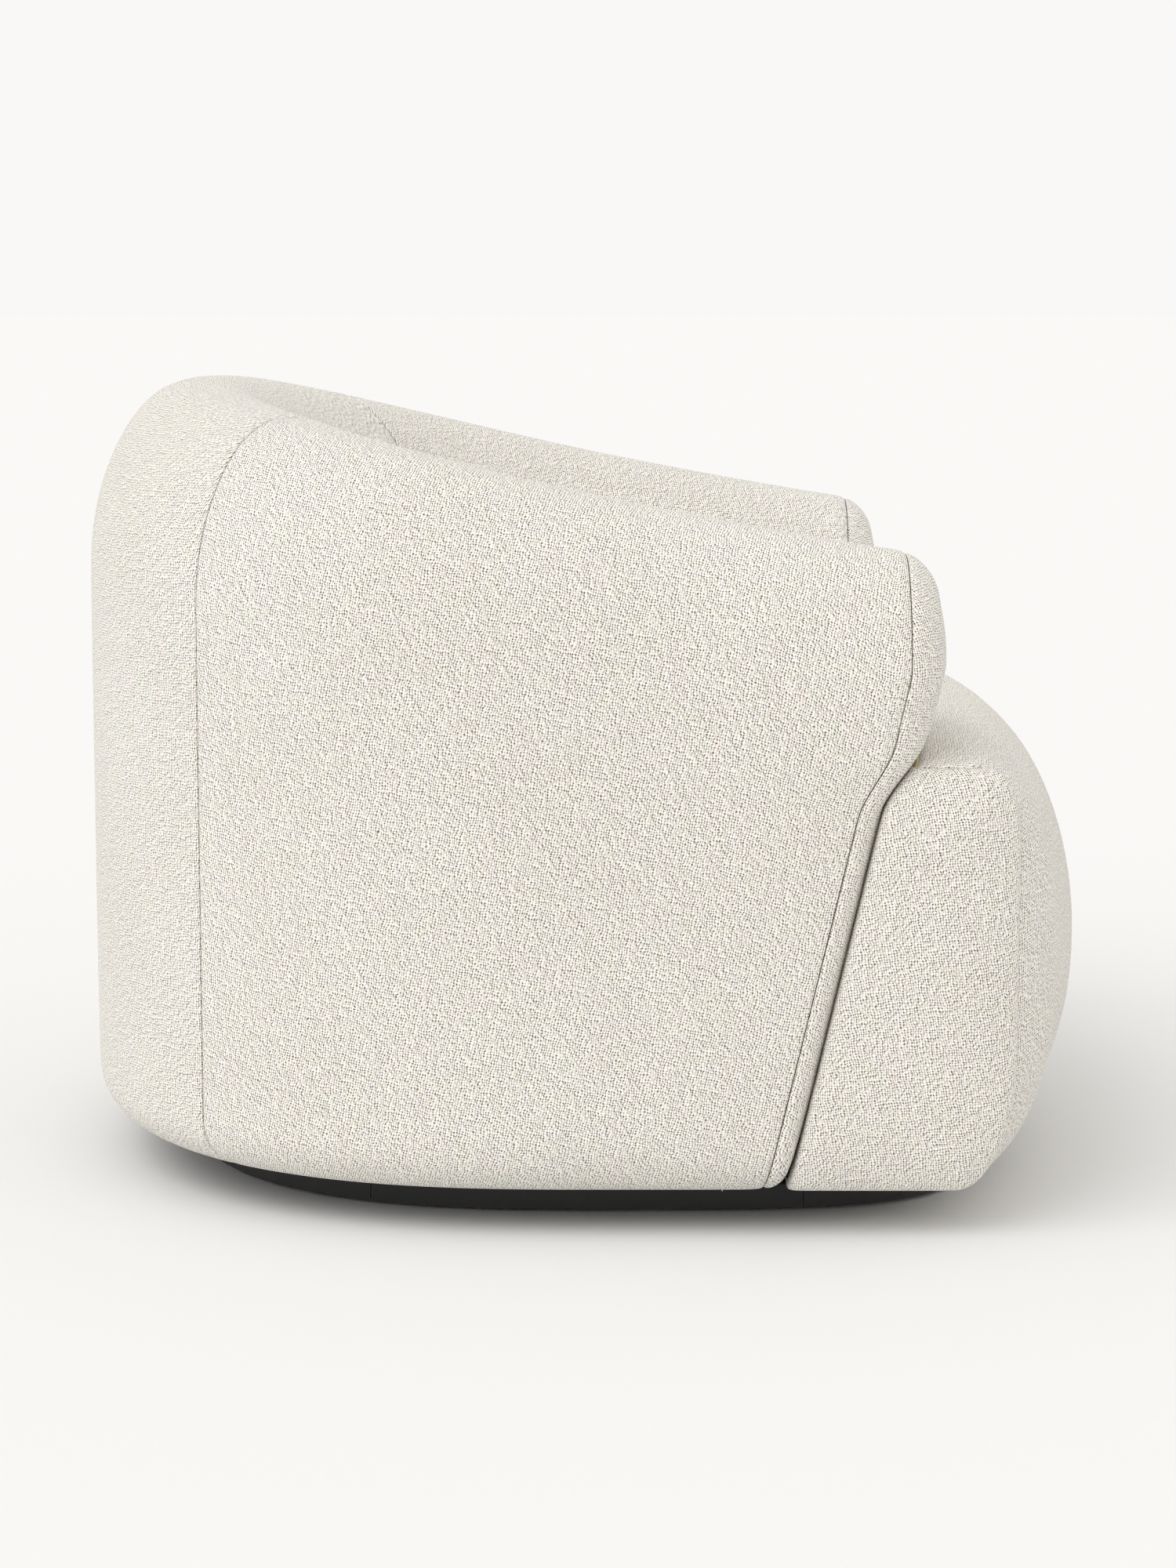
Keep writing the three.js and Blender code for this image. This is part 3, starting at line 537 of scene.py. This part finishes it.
def spaced(start, end, spacing):
    """Evenly spaced numbers from start to end, both included."""
    count = max(int(math.ceil(abs(end - start) / spacing)), 1)
    return list(np.linspace(start, end, count + 1))


def with_seam_loops(stations, seams):
    """Stations with close loops on both sides of each seam, and none of the old ones between them."""
    loops = [seam + offset for seam in seams for offset in SEAM_LOOPS]
    kept = [s for s in stations if all(abs(s - seam) > SEAM_LOOPS[-1] * 1.35 for seam in seams)]
    ends = [stations[0], stations[-1]]
    inside = [s for s in loops if ends[0] - 1e-9 <= s <= ends[1] + 1e-9]
    return sorted(set(round(s, 7) for s in kept + inside))


def tuck(distance, depth=SEAM_DEPTH):
    """How far the fabric is drawn in at a distance from a seam."""
    return depth * math.exp(-((abs(distance) / SEAM_HALF_WIDTH) ** 1.3) * 1.6)


def lengths(points, axis):
    """Distance along each line of a grid from its first point."""
    steps = np.linalg.norm(np.diff(points, axis=axis), axis=2)
    total = np.cumsum(steps, axis=axis)
    pad = [(0, 0), (0, 0)]
    pad[axis] = (1, 0)
    return np.pad(total, pad)


def face_out(mesh):
    """Turns every face of a panel the same way, away from the middle of the panel."""
    work = bmesh.new()
    work.from_mesh(mesh)
    bmesh.ops.recalc_face_normals(work, faces=work.faces)
    middle = sum((v.co for v in work.verts), Vector()) / len(work.verts)
    outward = sum(f.normal.dot(f.calc_center_median() - middle) * f.calc_area() for f in work.faces)
    if outward < 0:
        bmesh.ops.reverse_faces(work, faces=work.faces)
    work.to_mesh(mesh)
    work.free()


def turned(cloth, angle):
    """The weave's coordinates for a panel cut with its threads leaning by an angle."""
    u, v = cloth[..., 0], cloth[..., 1]
    c, s = math.cos(angle), math.sin(angle)
    return np.stack([u * c - v * s, u * s + v * c], axis=-1)


class Panel:
    """One sewn panel: grids of points with the weave's own coordinates, joined where they touch."""

    def __init__(self, name, nodes):
        self.name = name
        self.nodes = nodes
        self.points = []
        self.cloth = []
        self.held = []
        self.faces = []

    def add_grid(self, points, cloth, held, flip=False):
        rows, columns = points.shape[:2]
        first = sum(len(p) for p in self.points)
        index = np.arange(rows * columns).reshape(rows, columns) + first
        corners = [index[:-1, :-1], index[1:, :-1], index[1:, 1:], index[:-1, 1:]]
        quads = np.stack(corners, axis=-1).reshape(-1, 4)
        self.faces.append(quads[:, ::-1] if flip else quads)
        self.points.append(points.reshape(-1, 3))
        self.cloth.append(cloth.reshape(-1, 2))
        self.held.append(held.reshape(-1))

    def build(self, material):
        points = np.concatenate(self.points)
        cloth = np.concatenate(self.cloth)
        held = np.concatenate(self.held)
        faces = np.concatenate(self.faces)
        keys = np.round(points, 5)
        _, first, same = np.unique(keys, axis=0, return_index=True, return_inverse=True)
        same = same.reshape(-1)
        joined = same[faces]
        polygons = []
        corners = []
        for face, quad in zip(joined, faces):
            kept = [k for k in range(4) if face[k] != face[k - 1]]
            if len(kept) > 2:
                polygons.append([int(face[k]) for k in kept])
                corners.extend(int(quad[k]) for k in kept)
        mesh = bpy.data.meshes.new(self.name)
        mesh.from_pydata(points[first].tolist(), [], polygons)
        weave = mesh.uv_layers.new(name="weave")
        weave.data.foreach_set("uv", cloth[corners].astype(np.float32).reshape(-1))
        mesh.polygons.foreach_set("use_smooth", np.ones(len(polygons), dtype=bool))
        mesh.materials.append(material)
        mesh.validate()
        face_out(mesh)
        piece = bpy.data.objects.new(self.name, mesh)
        bpy.context.scene.collection.objects.link(piece)
        pins = piece.vertex_groups.new(name="held")
        weights = held[first]
        for index, weight in enumerate(weights):
            if weight > 0:
                pins.add([index], float(weight), "REPLACE")
        self.piece = piece
        return piece


# ---- The wrap's panels ----

def outer_lengths():
    """Table from place to distance along the wrap's outer face, 0 at the middle of the back."""
    places = np.linspace(0.0, place_of_y(NOSE_Y + NOSE_RADIUS), 1200)
    line = np.array([outer_point(p, 0.0) for p in places])
    steps = np.linalg.norm(np.diff(line, axis=0), axis=1)
    return places, np.concatenate([[0.0], np.cumsum(steps)])


PLACES, DISTANCES = outer_lengths()
BACK_SEAM_AT = float(np.interp(PANEL_SEAM, PLACES, DISTANCES))
ARM_END_AT = float(DISTANCES[-1])
NOSE_SEAM_ANGLE = math.asin(1 - (NOSE_SEAM_Y - NOSE_Y) / NOSE_RADIUS)
NOSE_SEAM_AT = ARM_END_AT + NOSE_RADIUS * NOSE_SEAM_ANGLE
NOSE_TIP_AT = ARM_END_AT + NOSE_RADIUS * math.pi / 2
CENTRE_AT = NOSE_TIP_AT + ARM_THICKNESS / 2 - NOSE_RADIUS


def wrap_rows():
    """Rows of a section, closer together on the round edges."""
    rows = []
    sizes = {UNDER_OUT: 0.03, HEM_OUT: 0.07, FACE_OUT: 0.45, RIM_OUT: 0.2, RIM_IN: 0.2, FACE_IN: 0.45,
             HEM_IN: 0.07, UNDER_IN: 0.03}
    for run, size in sizes.items():
        count = max(int(round(size / PATCH)), 2)
        rows.extend(run + k / count for k in range(count))
    rows.append(float(SECTION_END))
    return rows


ROWS = wrap_rows()


def nose_point(side, row, angle, drawn):
    """A point of an arm's front edge, which is squarer where it presses on the seat's wing."""
    height = wrap_point(side, row)[2]
    power = mix(1.0, PRESSED_EDGE, smoothstep((STEP_TOP + 0.01 - height) / STEP_RUN))
    ahead = math.sin(angle) ** power
    across = max(math.cos(angle), 0.0) ** power
    place = place_of_y(NOSE_Y + NOSE_RADIUS * (1 - ahead) + drawn * ahead)
    return wrap_point(side * place, row, NOSE_RADIUS * (1 - across) + drawn * across)


def ring(distance, side):
    """All rows of the wrap's section at a distance along it from the middle of the back."""
    seam_gap = min((distance - BACK_SEAM_AT, distance - NOSE_SEAM_AT), key=abs)
    drawn = tuck(seam_gap)
    if distance <= ARM_END_AT:
        place = float(np.interp(distance, DISTANCES, PLACES))
        return np.array([wrap_point(side * place, row, drawn) for row in ROWS])
    if distance <= NOSE_TIP_AT:
        angle = (distance - ARM_END_AT) / NOSE_RADIUS
        return np.array([nose_point(side, row, angle, drawn) for row in ROWS])
    inset = NOSE_RADIUS + distance - NOSE_TIP_AT
    points = np.array([wrap_point(side * 1.0, row, min(inset, ARM_THICKNESS / 2)) for row in ROWS])
    share = (distance - NOSE_TIP_AT) / (CENTRE_AT - NOSE_TIP_AT)
    swell = NOSE_SWELL * (1 - (1 - share) ** 2)
    points[:, 1] -= swell * smoothstep((points[:, 2] - SEAT_HEIGHT + 0.02) / 0.05)
    return points


def wrap_held(distances, seams):
    """How firmly each ring is held: fully at a seam or an end, and not at all away from it."""
    distances = np.array(distances)
    gap = np.min([np.abs(distances - seam) for seam in seams], axis=0)
    return np.clip(1.0 - gap / 0.010, 0.0, 1.0)


def held_grid(columns, rows_held):
    return np.maximum(columns[:, None], rows_held[None, :])


ROW_ARRAY = np.array(ROWS)
ROWS_HELD = ((ROW_ARRAY < HEM_OUT + 0.01) | (ROW_ARRAY > UNDER_IN - 0.01)).astype(float)


def back_panel():
    panel = Panel("back_panel", ["back_cover"])
    reach = BACK_SEAM_AT
    distances = with_seam_loops(spaced(-reach, reach, PATCH), [-reach, reach])
    points = np.stack([ring(abs(s), -1.0 if s < 0 else 1.0) for s in distances])
    middle = int(np.argmin(np.abs(np.array(distances))))
    along = lengths(points, 0)
    cloth = np.stack([along - along[middle], lengths(points, 1)], axis=-1)
    panel.add_grid(points, cloth, held_grid(wrap_held(distances, [-reach, reach]), ROWS_HELD))
    return panel


def arm_panel(side):
    word = "left" if side > 0 else "right"
    panel = Panel("arm_panel_" + word, ["arm_cover_" + word])
    seams = [BACK_SEAM_AT, NOSE_SEAM_AT]
    distances = with_seam_loops(spaced(*seams, PATCH), seams)
    points = np.stack([ring(s, side) for s in distances])
    along = lengths(points, 0)
    straight = int(np.argmin(np.abs(np.array(distances) - np.interp(CURVED_SHARE, PLACES, DISTANCES))))
    cloth = np.stack([along - along[straight], lengths(points, 1)], axis=-1)
    cloth = turned(cloth, ARM_GRAIN)
    panel.add_grid(points, cloth, held_grid(wrap_held(distances, seams), ROWS_HELD))
    return panel


def arm_front_panel(side):
    word = "left" if side > 0 else "right"
    panel = Panel("arm_front_panel_" + word, ["arm_front_cover_" + word])
    stations = spaced(NOSE_SEAM_AT, CENTRE_AT, PATCH * 0.7)
    distances = with_seam_loops(stations, [NOSE_SEAM_AT])
    points = np.stack([ring(s, side) for s in distances])
    points[-1, :, 0] = side * (HALF_WIDTH - ARM_THICKNESS / 2)
    from_centre = lengths(points[::-1], 0)[::-1]
    tip = int(np.argmin(np.abs(np.array(distances) - NOSE_TIP_AT)))
    centre = points[-1][:, [0, 2]]
    out = points[tip][:, [0, 2]] - centre
    out /= np.maximum(np.linalg.norm(out, axis=1, keepdims=True), 1e-6)
    cloth = centre[None] + out[None] * from_centre[..., None]
    held = held_grid(wrap_held(distances, [NOSE_SEAM_AT]), ROWS_HELD * 0)
    panel.add_grid(points, cloth, held, flip=side < 0)
    return panel


# ---- The seat's panels ----

def groove_y(z):
    """Back of the seat's wings: the leaning line along the arm fronts."""
    return GROOVE_Y + lean_line(z)


def seat_front_y(x):
    """Plan outline of the seat's front at its fullest: a shallow bow between two round corners."""
    corner_x = SEAT_HALF_WIDTH - SEAT_CORNER
    corner_y = FRONT_Y + SEAT_BOW + SEAT_CORNER
    x = min(abs(x), SEAT_SEAM_X)
    if x > corner_x:
        return corner_y - math.sqrt(SEAT_CORNER**2 - (x - corner_x) ** 2)
    return FRONT_Y + SEAT_BOW * (x / corner_x) ** 2


# A profile of the seat, front to back: hem, bottom roll, front, top roll, top
SEAT_UNDER, SEAT_LOW, SEAT_FACE, SEAT_ROLL, SEAT_TOP, SEAT_PROFILE_END = range(6)


def seat_profile(x, row, drawn=0.0):
    """Point of the seat's main panel at x, on a row of its profile."""
    across = abs(x) / SEAT_SEAM_X
    puff = max(1 - across**CROWN_POWER, 0.0) ** CROWN_FULLNESS
    front = seat_front_y(x) + drawn
    top = mix(SIDE_TOP_Z, SEAT_HEIGHT, puff) - drawn
    share = puff**ROLL_FULLNESS
    roll_y = mix(SIDE_ROLL[0], TOP_ROLL[0], share)
    roll_z = mix(SIDE_ROLL[1], TOP_ROLL[1], share)
    low_y = mix(SIDE_LOW[0], LOW_ROLL[0], share)
    low_z = mix(SIDE_LOW[1], LOW_ROLL[1], share)
    bottom = SIDE_BOTTOM_Z + drawn
    run = min(int(row), SEAT_TOP)
    part = row - run
    quarter = part * math.pi / 2
    if run == SEAT_UNDER:
        return x, mix(SEAT_HEM_Y, front + low_y, part), bottom
    if run == SEAT_LOW:
        return x, front + low_y * (1 - math.sin(quarter)), bottom + low_z * (1 - math.cos(quarter))
    if run == SEAT_FACE:
        return x, front, mix(bottom + low_z, top - roll_z, part)
    if run == SEAT_ROLL:
        return x, front + roll_y * (1 - math.cos(quarter)), top - roll_z * (1 - math.sin(quarter))
    back = groove_y(top) - GROOVE_ROLL
    return x, mix(front + roll_y, back, part), top


def rolled_down(point, direction, radius, drop):
    """Points that carry on from a panel's edge, round and down into a gap."""
    x, y, z = point
    run = []
    for part in ROLL_PARTS:
        angle = part * math.pi / 2
        out = radius * math.sin(angle)
        run.append((x + direction[0] * out, y + direction[1] * out, z - radius * (1 - math.cos(angle))))
    x_end, y_end, z_end = run[-1]
    for part in DROP_PARTS:
        run.append((x_end, y_end, z_end - drop * part))
    return run


def seat_rows():
    rows = []
    sizes = {SEAT_UNDER: 0.07, SEAT_LOW: 0.12, SEAT_FACE: 0.09, SEAT_ROLL: 0.32, SEAT_TOP: 0.10}
    for run, size in sizes.items():
        count = max(int(round(size / PATCH)), 2)
        rows.extend(run + k / count for k in range(count))
    rows.append(float(SEAT_PROFILE_END))
    return rows


def seat_main_panel():
    panel = Panel("seat_main_panel", ["seat_cover"])
    seams = [-SEAT_SEAM_X, SEAT_SEAM_X]
    columns = with_seam_loops(spaced(*seams, PATCH), seams)
    columns = [c for c in columns if abs(abs(c) - WELL_HALF_WIDTH) > PATCH * 0.6]
    roll_x = WELL_HALF_WIDTH - GROOVE_ROLL
    columns = sorted(columns + [-WELL_HALF_WIDTH, WELL_HALF_WIDTH, -roll_x, roll_x])
    rows = seat_rows()
    grid = []
    for x in columns:
        gap = SEAT_SEAM_X - abs(x)
        line = []
        for row in rows:
            depth = 0.0007 if row > SEAT_ROLL + 0.6 else SIDE_SEAM_DEPTH
            line.append(seat_profile(x, row, tuck(gap, depth)))
        line.extend(rolled_down(line[-1], (0.0, 1.0), GROOVE_ROLL, GROOVE_DROP))
        grid.append(line)
    points = np.array(grid)
    spread = np.array([seat_spread(x) for x in columns])
    down = lengths(points, 1)
    down = down - down[:, [len(rows) - 1]]
    flat = np.array(columns)[:, None]
    level = np.clip(np.array(rows + [SEAT_PROFILE_END] * GROOVE_ROWS) - SEAT_ROLL, 0.0, 1.0)
    u = spread[:, None] * (1 - level) + flat * level
    held_columns = np.clip(1.0 - (SEAT_SEAM_X - np.abs(columns)) / 0.010, 0.0, 1.0)
    in_groove = np.array([False] * len(rows) + [True] * GROOVE_ROWS)
    in_hem = np.array([row < SEAT_LOW + 0.01 for row in rows] + [False] * GROOVE_ROWS)
    held_rows = (in_hem | in_groove).astype(float)
    inner = [k for k, x in enumerate(columns) if abs(x) <= roll_x + 1e-9]
    outer_right = [k for k, x in enumerate(columns) if x <= -roll_x + 1e-9]
    outer_left = [k for k, x in enumerate(columns) if x >= roll_x - 1e-9]
    cloth = np.stack([u, down], axis=-1)
    held = held_grid(held_columns, held_rows)
    count = len(rows)
    panel.add_grid(points[:, :count], cloth[:, :count], held[:, :count], flip=True)
    for group in (outer_right, outer_left):
        part = slice(count - 1, None)
        panel.add_grid(points[group][:, part], cloth[group][:, part], held[group][:, part], flip=True)
    deck = []
    for k in inner:
        x, start, z = points[k, count - 1]
        across = abs(x) / roll_x
        end = (INNER_BACK_Y - UNIT_GAP - GROOVE_ROLL) * max(1 - across**PLAN_POWER, 0.0) ** (1 / PLAN_POWER)
        line = [(x, y, z) for y in spaced_count(start, end, int(0.42 / PATCH))]
        line.extend(rolled_down(line[-1], (0.0, 1.0), GROOVE_ROLL, GROOVE_DROP))
        deck.append(line)
    deck = np.array(deck)
    v = lengths(deck, 1)
    u_deck = np.repeat(np.array(columns)[inner][:, None], deck.shape[1], axis=1)
    deck_held = np.zeros(deck.shape[:2])
    deck_held[:, -GROOVE_ROWS:] = 1.0
    panel.add_grid(deck, np.stack([u_deck, v], axis=-1), deck_held, flip=True)
    for side, k in ((-1.0, 0), (1.0, -1)):
        edge = deck[k][:-GROOVE_ROWS]
        strip = np.array([[tuple(p)] + rolled_down(p, (side, 0.0), GROOVE_ROLL, GROOVE_DROP) for p in edge])
        strip_v = np.repeat(v[k][:-GROOVE_ROWS][:, None], GROOVE_ROWS + 1, axis=1)
        strip_cloth = np.stack([side * (roll_x + lengths(strip, 1)), strip_v], axis=-1)
        strip_held = np.zeros(strip.shape[:2])
        strip_held[:, 1:] = 1.0
        panel.add_grid(strip, strip_cloth, strip_held, flip=side > 0)
    return panel


def spaced_count(start, end, count):
    return list(np.linspace(start, end, max(count, 2)))


def seat_spread(x):
    """Distance along the seat's front outline from its middle."""
    line = np.array([(t, seat_front_y(t)) for t in np.linspace(0.0, abs(x), 60)])
    return math.copysign(float(np.linalg.norm(np.diff(line, axis=0), axis=1).sum()), x)


def side_front_y(z):
    """The side panel's front edge, which is the seam's own line."""
    (low_y, low_z), (roll_y, roll_z), bottom = SIDE_LOW, SIDE_ROLL, SIDE_BOTTOM_Z
    if z < bottom + low_z:
        rise = min(max((bottom + low_z - z) / low_z, 0.0), 1.0)
        return SIDE_FRONT_Y + low_y * (1 - math.sqrt(1 - rise**2))
    if z > SIDE_TOP_Z - roll_z:
        rise = min((z - SIDE_TOP_Z + roll_z) / roll_z, 1.0)
        return SIDE_FRONT_Y + roll_y * (1 - math.sqrt(1 - rise**2))
    return SIDE_FRONT_Y


def swell(distance, reach):
    """Share of the full swell at a distance in from a panel's edge."""
    part = min(max(distance / reach, 0.0), 1.0)
    return math.sqrt(1 - (1 - part) ** 2)


def rounded_swell(*distances):
    """Share of the full swell inside a corner, where the nearest edges act together."""
    lack = sum((1 - swell(distance, SIDE_EDGE)) ** CORNER_POWER for distance in distances)
    return max(1 - lack ** (1 / CORNER_POWER), 0.0)


def seat_side_panel(side):
    word = "left" if side > 0 else "right"
    panel = Panel("seat_side_panel_" + word, ["seat_side_cover_" + word])
    bottom = SIDE_BOTTOM_Z
    levels = with_seam_loops(spaced(bottom, SIDE_TOP_Z, PATCH), [SIDE_TOP_Z])
    levels = sorted(levels + [bottom + rise for rise in BOTTOM_RISES])
    grid = []
    hem = spaced(SEAT_HEM_X, SEAT_SEAM_X, PATCH * 1.5)[:-1]
    for level in [None] * len(hem) + levels:
        z = bottom if level is None else level
        front = side_front_y(z)
        back = groove_y(z) - GROOVE_ROLL
        width = back - front
        line = []
        shares = [0.0, 0.0018 / 0.16, 0.0045 / 0.16, 0.0085 / 0.16] + list(
            np.linspace(0.0085 / 0.16, 1.0, int(0.16 / PATCH) + 1)
        )[1:]
        for share in shares:
            y = front + width * share
            ridge = SIDE_TOP_Z - z
            out = rounded_swell(y - front, ridge, z - bottom)
            drawn = max(tuck(y - front, SIDE_SEAM_DEPTH), tuck(ridge, 0.0007))
            line.append((side * (SEAT_SEAM_X + SIDE_SWELL * out - drawn), y, z))
        grid.append(line)
    flat = [[(side * x, p[1], bottom) for p in grid[len(hem)]] for x in hem]
    points = np.array(flat + grid[len(hem):])
    edge = points[:, -1]
    rolls = np.array([side_roll(tuple(p), side) for p in edge])
    points = np.concatenate([points, rolls], axis=1)
    v = lengths(points, 0)
    u = lengths(points, 1) + points[:, [0], 1]
    cloth = turned(np.stack([u, v], axis=-1), SEAT_SIDE_GRAIN)
    held = np.zeros(points.shape[:2])
    held[:, :3] = [1.0, 0.7, 0.4]
    held[-1] = 1.0
    held[: len(flat)] = 1.0
    held[:, -(len(ROLL_PARTS) + 1):] = 1.0
    panel.add_grid(points, cloth, held, flip=side > 0)
    return panel


def side_roll(point, side):
    """Carries a side panel's back edge round into the groove."""
    x, y, z = point
    run = []
    for part in ROLL_PARTS:
        angle = part * math.pi / 2
        run.append((x - side * GROOVE_ROLL * (1 - math.cos(angle)), y + GROOVE_ROLL * math.sin(angle), z))
    run.append((run[-1][0] - side * GROOVE_DROP, run[-1][1], z))
    return run


# ---- Cloth settling ----

def settle(panels, pressure=1.6, frames=20, cap=0.006):
    """Inflates the panels between their seams as cloth. The small SINK_CAP stops them sinking in, and the
    cap holds them to a tight cover."""
    scene = bpy.context.scene
    for panel in panels:
        piece = panel.piece
        cloth = piece.modifiers.new("settle", "CLOTH")
        settings = cloth.settings
        settings.quality = 4
        settings.mass = 0.35
        settings.tension_stiffness = 25.0
        settings.compression_stiffness = 25.0
        settings.shear_stiffness = 12.0
        settings.bending_stiffness = 1.5
        settings.air_damping = 4.0
        settings.use_pressure = True
        settings.uniform_pressure_force = pressure
        settings.vertex_group_mass = "held"
        settings.effector_weights.gravity = 0.0
        cloth.collision_settings.use_collision = False
        cloth.point_cache.frame_start = 1
        cloth.point_cache.frame_end = frames
    for frame_number in range(1, frames + 1):
        scene.frame_set(frame_number)
        bpy.context.view_layer.update()
    graph = bpy.context.evaluated_depsgraph_get()
    for panel in panels:
        piece = panel.piece
        settled = piece.evaluated_get(graph).to_mesh()
        count = len(piece.data.vertices)
        before = np.empty(count * 3, dtype=np.float32)
        after = np.empty(count * 3, dtype=np.float32)
        piece.data.vertices.foreach_get("co", before)
        settled.vertices.foreach_get("co", after)
        before = before.reshape(-1, 3)
        moved = after.reshape(-1, 3) - before
        normals = np.empty(count * 3, dtype=np.float32)
        piece.data.vertex_normals.foreach_get("vector", normals)
        normals = normals.reshape(-1, 3)
        out = np.sum(moved * normals, axis=1, keepdims=True)
        along = moved - out * normals
        slide = np.linalg.norm(along, axis=1, keepdims=True)
        along *= SLIDE_CAP * np.tanh(slide / SLIDE_CAP) / np.maximum(slide, 1e-9)
        out = np.where(out > 0, cap * np.tanh(out / cap), SINK_CAP * np.tanh(out / SINK_CAP))
        moved = along + out * normals
        piece.evaluated_get(graph).to_mesh_clear()
        piece.modifiers.clear()
        piece.data.vertices.foreach_set("co", (before + moved).reshape(-1).astype(np.float32))
        piece.data.update()
    scene.frame_set(1)


def finish_panel(panel):
    piece = panel.piece
    thickness = piece.modifiers.new("thickness", "SOLIDIFY")
    thickness.thickness = FABRIC_THICKNESS
    thickness.offset = -1.0
    smooth = piece.modifiers.new("smooth", "SUBSURF")
    smooth.levels = 1
    smooth.render_levels = 1
    smooth.uv_smooth = "PRESERVE_BOUNDARIES"
    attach(piece, "root")
    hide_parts(*panel.nodes)


# ---- Assembly ----

add_camera()
add_studio()

fabric = woven_fabric("woven_fabric")
panels = [back_panel(), seat_main_panel()]
for arm_side in (-1.0, 1.0):
    panels += [arm_panel(arm_side), arm_front_panel(arm_side), seat_side_panel(arm_side)]
for panel in panels:
    panel.build(fabric)
settle(panels)
for panel in panels:
    finish_panel(panel)

FINISHES = {
    "foam": upholstery_foam(),
    "timber": raw_timber(),
    "webbing": elastic_webbing(),
    "black_board": black_board(),
    "black_felt": black_felt(),
    "steel": zinc_steel(),
}
SLOTS = {
    "foam": "foam", "webbing": "webbing", "plinth": "black_board",
    "dust_cover": "black_felt", "glide": "black_felt", "bolt": "steel",
}


def finish_of(node):
    for word, slot_name in SLOTS.items():
        if word in node:
            return slot_name
    return "timber"


for node_name, node_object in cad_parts.items():
    if "cover" in node_name and node_name != "dust_cover":
        continue
    finish = FINISHES[finish_of(node_name)]
    node_object.data.materials.clear()
    node_object.data.materials.append(finish)
